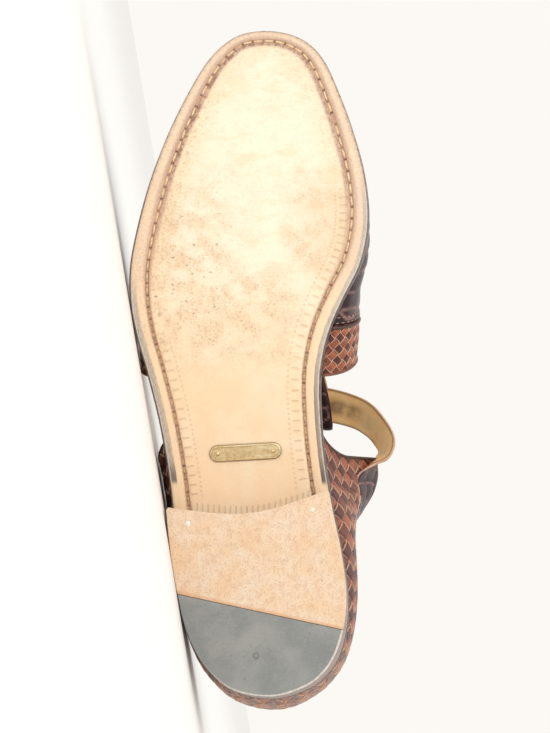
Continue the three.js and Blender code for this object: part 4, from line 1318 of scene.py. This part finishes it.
def buildVamp():
    backX, seamX = vamp["backX"], vamp["seamX"]
    buildWall("vamp_wall", lining["vamp"], lambda u, v: vampSurface(vampStation(backX, u), v),
              [bindMat, toeLining], folded=True)
    low, high = weave["vampReach"]
    buildWeave("vamp_weave", weave["vampWidth"], (low, 0), (high, vampWidth),
               vampWarp, weave["vampCuts"], vampSurface)
    # scaled toe panel
    bm = bmesh.new()
    layers = marksIn(bm, "groove", "tone")

    def panel(i, j):
        spot, normal = vampSurface(vampStation(seamX - toe["overSeam"], i / toe["along"]), j / toe["across"])
        height, groove, tone = scaleRelief(*hideFlat(spot), toe["scales"])
        lip = ease(i, 0, toe["lip"])
        return spot + normal * (lerp(*toe["lift"], lip) + height * toe["relief"] * lip), groove * lip, tone

    gridInto(bm, toe["along"], toe["across"], panel, layers)
    weld(bm)
    thicken(finishPiece("toe_panel", bm, [scaleMat], ["upper"], sharp=1.4), toe["thick"])
    # piping and stitches along the seam
    bm = bmesh.new()
    steps = seam["steps"]
    low, reach = seam["pipeSpan"]
    spots = [vampSurface(seamX - seam["pipeBack"], low + reach * k / steps) for k in range(steps + 1)]
    points = [spot + normal * seam["pipeLift"] for spot, normal in spots]
    tubeInto(bm, points, [normal for _, normal in spots], seam["pipe"], seam["pipe"])
    closeUp(bm)
    finishPiece("seam_piping", bm, [bindMat])
    bm = bmesh.new()
    low, reach = seam["stitchSpan"]
    for ahead in seam["rows"]:
        for k in range(seam["stitches"]):
            across = low + reach * (k + 0.5) / seam["stitches"]
            spot, normal = vampSurface(seamX + ahead, across)
            later, _ = vampSurface(seamX + ahead, across + seam["probe"])
            beadInto(bm, spot + normal * seam["stitchLift"], later - spot, normal, seam["stitch"])
    outward(bm)
    finishPiece("seam_stitches", bm, [seamThread])
    # rolled binding round the throat
    bm = bmesh.new()
    steps, inner = binding["throatSteps"], backX + binding["throatInside"]
    low, reach = binding["throatSpan"]
    shares = [low + reach * k / steps for k in range(steps + 1)]
    rolledEdge(bm, vampSurface, [((backX, share), (inner, share)) for share in shares])
    closeUp(bm)
    finishPiece("throat_binding", bm, [throatMat])


buildQuarter()
buildVamp()
print("upper ready")

# Ankle strap and centre strap
ankle = {
    "rows": [  # centre, and direction across the strap
        ((108.8, 48, 71.5), (0.26, 0.1, 0.96)), ((112.5, 52.6, 75), (0.2, -0.27, 0.94)),
        ((119, 53, 79.5), (-0.07, -0.54, 0.84)), ((127.4, 48.2, 87), (-0.43, -0.47, 0.77)),
        ((134.7, 39.4, 93.2), (-0.71, -0.37, 0.6)), ((140.5, 16, 97.5), (-0.92, 0, 0.39)),
        ((138.5, -6, 97), (-0.9, 0.12, 0.42)), ((131.5, -27, 91), (-0.78, 0.35, 0.52)),
        ((120, -42, 81), (-0.45, 0.3, 0.84)), ((110.5, -47, 72.5), (-0.05, 0, 1)),
    ],
    "seats": [(0.13, 0.72), (0.08, 0.68), (0.042, 0.67)], "seatTop": 1.01, "half": 9.0,
    "steps": 440, "outside": 1.15, "inside": 0.5,
}
centre = {
    "names": ("back", "y", "z", "half", "above"),
    "rows": [
        (-197, 0.5, 65.6, 10, 2.2), (-186, 2.5, 70.4, 10, 2.2), (-174, 6, 77, 10, 1.4),
        (-158.5, 11.5, 88.2, 10, 1.1), (-156, 12.3, 89.8, 10, 2.6), (-140.5, 15.8, 97.5, 10, 3.5),
        (-130, 16.8, 102, 10, 3.3), (-127.5, 17, 103, 9.6, 1.6),
    ],
    "thick": 1.9, "frontX": 197, "endX": 129.5, "flapX": 156.5, "overFlap": (190, 157), "flapLift": 2.2,
    "steps": 130, "endSteps": 9, "flapSteps": 28, "loop": 3.3, "flapEnd": 3.2, "bulge": 2.2, "endSlope": 0.43,
}
band = {"columns": 26, "relief": 0.5, "scales": (8, 7)}


def throughPoints(points):  # a smooth curve through points, even in chord length
    last = len(points) - 1

    def at(t):
        p = t * last
        i = min(int(p), last - 1)
        u = p - i
        p1, p2 = points[i], points[i + 1]
        p0 = points[i - 1] if i > 0 else p1 * 2 - p2
        p3 = points[i + 2] if i + 2 <= last else p2 * 2 - p1
        d0, d1, d2 = [max((b - a).length ** 0.5, 1e-3) for a, b in ((p0, p1), (p1, p2), (p2, p3))]
        m1 = ((p1 - p0) / d0 - (p2 - p0) / (d0 + d1) + (p2 - p1) / d1) * d1
        m2 = ((p2 - p1) / d1 - (p3 - p1) / (d1 + d2) + (p3 - p2) / d2) * d1
        a = p1 * 2 - p2 * 2 + m1 + m2
        b = p2 * 3 - p1 * 3 - m1 * 2 - m2
        return p1 + m1 * u + b * u * u + a * u * u * u

    return at


def ankleEdge(side):
    seats = []
    for around, low in ankle["seats"]:
        seats.append((around, low if side < 0 else ankle["seatTop"]))
    start = [quarterPoint(around, up) for around, up in seats]
    end = [quarterPoint(1 - around, up) for around, up in seats][::-1]
    free = [Vector(spot) + Vector(over).normalized() * side * ankle["half"] for spot, over in ankle["rows"]]
    return throughPoints(start + free + end)


def bandSection(columns):  # outer face, edge, inner face, edge: share across, lift, 1 where the hide shows
    outer = [(0.0, 0.55, 0), (0.03, 0.9, 0)]
    outer += [(lerp(0.08, 0.92, k / columns), 1.0, 1) for k in range(columns + 1)]
    outer += [(0.97, 0.9, 0), (1.0, 0.55, 0)]
    inner = [(1.0, -0.55, 0), (0.97, -0.95, 0), (0.75, -1.0, 0), (0.5, -1.0, 0), (0.25, -1.0, 0)]
    return outer + inner + [(0.03, -0.95, 0), (0.0, -0.55, 0)], len(outer)


def buildBand(name, frames, rawRims):  # frames: two edges, the outward direction, half thickness each way
    bm = bmesh.new()
    layers = marksIn(bm, "groove", "tone", "band")
    lengths = runLengths([(low + high) / 2 for low, high, *_ in frames])
    section, outerCount = bandSection(band["columns"])

    def place(i, j):
        low, high, normal, outsideLift, insideLift = frames[i]
        share, lift, bumpy = section[j % len(section)]
        spot = low.lerp(high, share)
        height, groove, tone = scaleRelief(lengths[i], share * (high - low).length, band["scales"])
        depth = lift * (outsideLift if lift > 0 else insideLift)
        return spot + normal * (depth + height * band["relief"] * bumpy), groove * bumpy, tone, share

    raw = [outerCount - 1, len(section) - 1] + ([0, outerCount - 2] if rawRims else [])
    for face, (_, j) in gridInto(bm, len(frames) - 1, len(section), place, layers).items():
        face.material_index = 2 if j in raw else 0 if j < outerCount - 1 else 1
    closeUp(bm)
    finishPiece(name, bm, [scaleMat, strapLining, rawMat], sharp=1.0)


def buildAnkle():
    low, high = ankleEdge(-1), ankleEdge(1)
    steps = ankle["steps"]
    frames = []
    for i in range(steps + 1):
        t = i / steps
        a, b = low(t), high(t)
        step = 1 / steps if i < steps else -1 / steps
        run = ((low(t + step) + high(t + step)) - (a + b)) * (1 if step > 0 else -1)
        normal = (b - a).cross(run).normalized()
        frames.append((a, b, normal, ankle["outside"], ankle["inside"]))
    buildBand("ankle_strap", frames, True)


def buildCentre():
    curves = columnCurves(centre)
    endX, loop = centre["endX"], centre["loop"]

    def spotAt(x, lift):
        back = -x
        slope = curves["z"](back + 0.5) - curves["z"](back - 0.5)
        normal = Vector((slope, 0, 1)).normalized()
        return Vector((x, curves["y"](back), curves["z"](back))) + normal * lift, normal, curves["half"](back)

    path = []
    steps = centre["steps"]
    for k in range(steps + 1):  # up the outside
        x = lerp(centre["frontX"], endX, k / steps)
        lift = curves["above"](-x)
        if x >= centre["overFlap"][1]:
            lift = lerp(lift, centre["flapLift"], ease(x, *centre["overFlap"]))
        path.append(spotAt(x, lift))
    ahead = Vector((-1, 0, centre["endSlope"])).normalized()
    for k in range(1, centre["endSteps"]):  # round the end
        angle = math.pi * k / centre["endSteps"]
        spot, normal, half = spotAt(endX, loop * math.cos(angle))
        spot = spot + ahead * centre["bulge"] * math.sin(angle)
        path.append((spot, normal * math.cos(angle) + ahead * math.sin(angle), half))
    steps = centre["flapSteps"]
    for k in range(steps + 1):  # back under
        x = lerp(endX, centre["flapX"], k / steps)
        spot, normal, half = spotAt(x, -lerp(loop, centre["flapEnd"], k / steps))
        path.append((spot, -normal, half))
    frames = []
    for spot, normal, half in path:
        normal = normal.normalized()
        side = Vector((0, half, 0))
        core = centre["thick"] / 2
        frames.append((spot + side - normal * core, spot - side - normal * core, normal, core, core))
    buildBand("centre_strap", frames, False)


buildAnkle()
buildCentre()
print("straps ready")

# Insole
insole = {
    "count": 200, "across": 16, "gap": 3.0,
    "levels": [  # inset, height over the sole
        (6.0, 0.3), (0.3, 0.3), (0.0, 0.7), (0.0, 1.9), (0.35, 2.5), (1.2, 2.75), (5.0, 2.8),
    ],
}


def buildInsole():
    bm = bmesh.new()
    count, levels = insole["count"], insole["levels"]

    def spotAt(i, level):
        place, normal, _ = ringPoint(i, count)
        spot = place - normal * (upperInset(place.x) + insole["gap"] + level[0])
        return Vector((spot.x, spot.y, soleTop(spot.x) + level[1]))

    gridInto(bm, 2 * count, len(levels) - 1, lambda i, j: (spotAt(i, levels[j]),))
    for level in (levels[0], levels[-1]):

        def field(i, j, level=level):
            u = j / insole["across"]
            spot = spotAt(i, level).lerp(spotAt(2 * count - i, level), u)
            spot.z = soleTop(spot.x) + level[1]
            return (spot,)

        gridInto(bm, count, insole["across"], field)
    weld(bm)
    outward(bm)
    finishPiece("insole_sock", bm, [sockLeather], ["insole"])


buildInsole()
print("insole ready")

# Floor, light and camera
stage = {
    "floor": 30.0, "floorColour": srgb(247, 246, 244), "floorShade": srgb(240, 242, 243),
    "worldColour": srgb(254, 251, 246), "worldStrength": 0.98,
}


def buildStage():
    bm = bmesh.new()
    bmesh.ops.create_grid(bm, x_segments=1, y_segments=1, size=stage["floor"])
    mesh = bpy.data.meshes.new("floor")
    bm.to_mesh(mesh)
    bm.free()
    floor = bpy.data.objects.new("floor", mesh)
    scene.collection.objects.link(floor)
    f = Finish("pale_floor", metres=True, Roughness=0.9)
    f.base(f.grain(3.0, 3), stage["floorColour"], stage["floorShade"])
    floor.data.materials.append(f.finish())
    world = bpy.data.worlds.new("studio")
    scene.world = world
    world.use_nodes = True
    sky = world.node_tree.nodes["Background"]
    sky.inputs["Color"].default_value = stage["worldColour"]
    sky.inputs["Strength"].default_value = stage["worldStrength"]


lights = {  # place in the row's metres, aim, size, watts, colour
    "key": ((-0.35, -1.5, 0.9), (0, 0, 0.06), 0.9, 7.0, (1.0, 0.97, 0.94)),
    "top": ((0.1, 0.3, 1.4), (0, 0, 0.05), 0.9, 2.0, (1.0, 1.0, 1.0)),
}


def buildLights():
    for name, (spot, aim, size, watts, colour) in lights.items():
        data = bpy.data.lights.new(name, "AREA")
        data.shape = "DISK"
        data.size = size
        data.energy = watts
        data.color = colour
        lamp = bpy.data.objects.new(name, data)
        lamp.location = spot
        lamp.rotation_euler = (Vector(aim) - Vector(spot)).to_track_quat("-Z", "Y").to_euler()
        scene.collection.objects.link(lamp)


view = {"place": (39.9, 60.3, -742.4), "aim": (147.0, 4.0, 12.0), "lens": 82.5, "roll": 0.0092}


def buildCamera():
    data = bpy.data.cameras.new("camera")
    data.lens = view["lens"]
    data.clip_start = 0.01
    data.clip_end = 100
    camera = bpy.data.objects.new("camera", data)
    spot = toRow @ Vector(view["place"])
    aim = toRow @ Vector(view["aim"])
    back = (spot - aim).normalized()
    upward = alongAxis - back * alongAxis.dot(back)
    upward.normalize()
    upward = (upward - upward.cross(back) * view["roll"]).normalized()
    right = upward.cross(back)
    turn = Matrix((right, upward, back)).transposed()
    camera.matrix_world = Matrix.Translation(spot) @ turn.to_4x4()
    scene.collection.objects.link(camera)
    scene.camera = camera


buildStage()
buildLights()
buildCamera()
scene.view_settings.view_transform = "Standard"
print("stage ready")
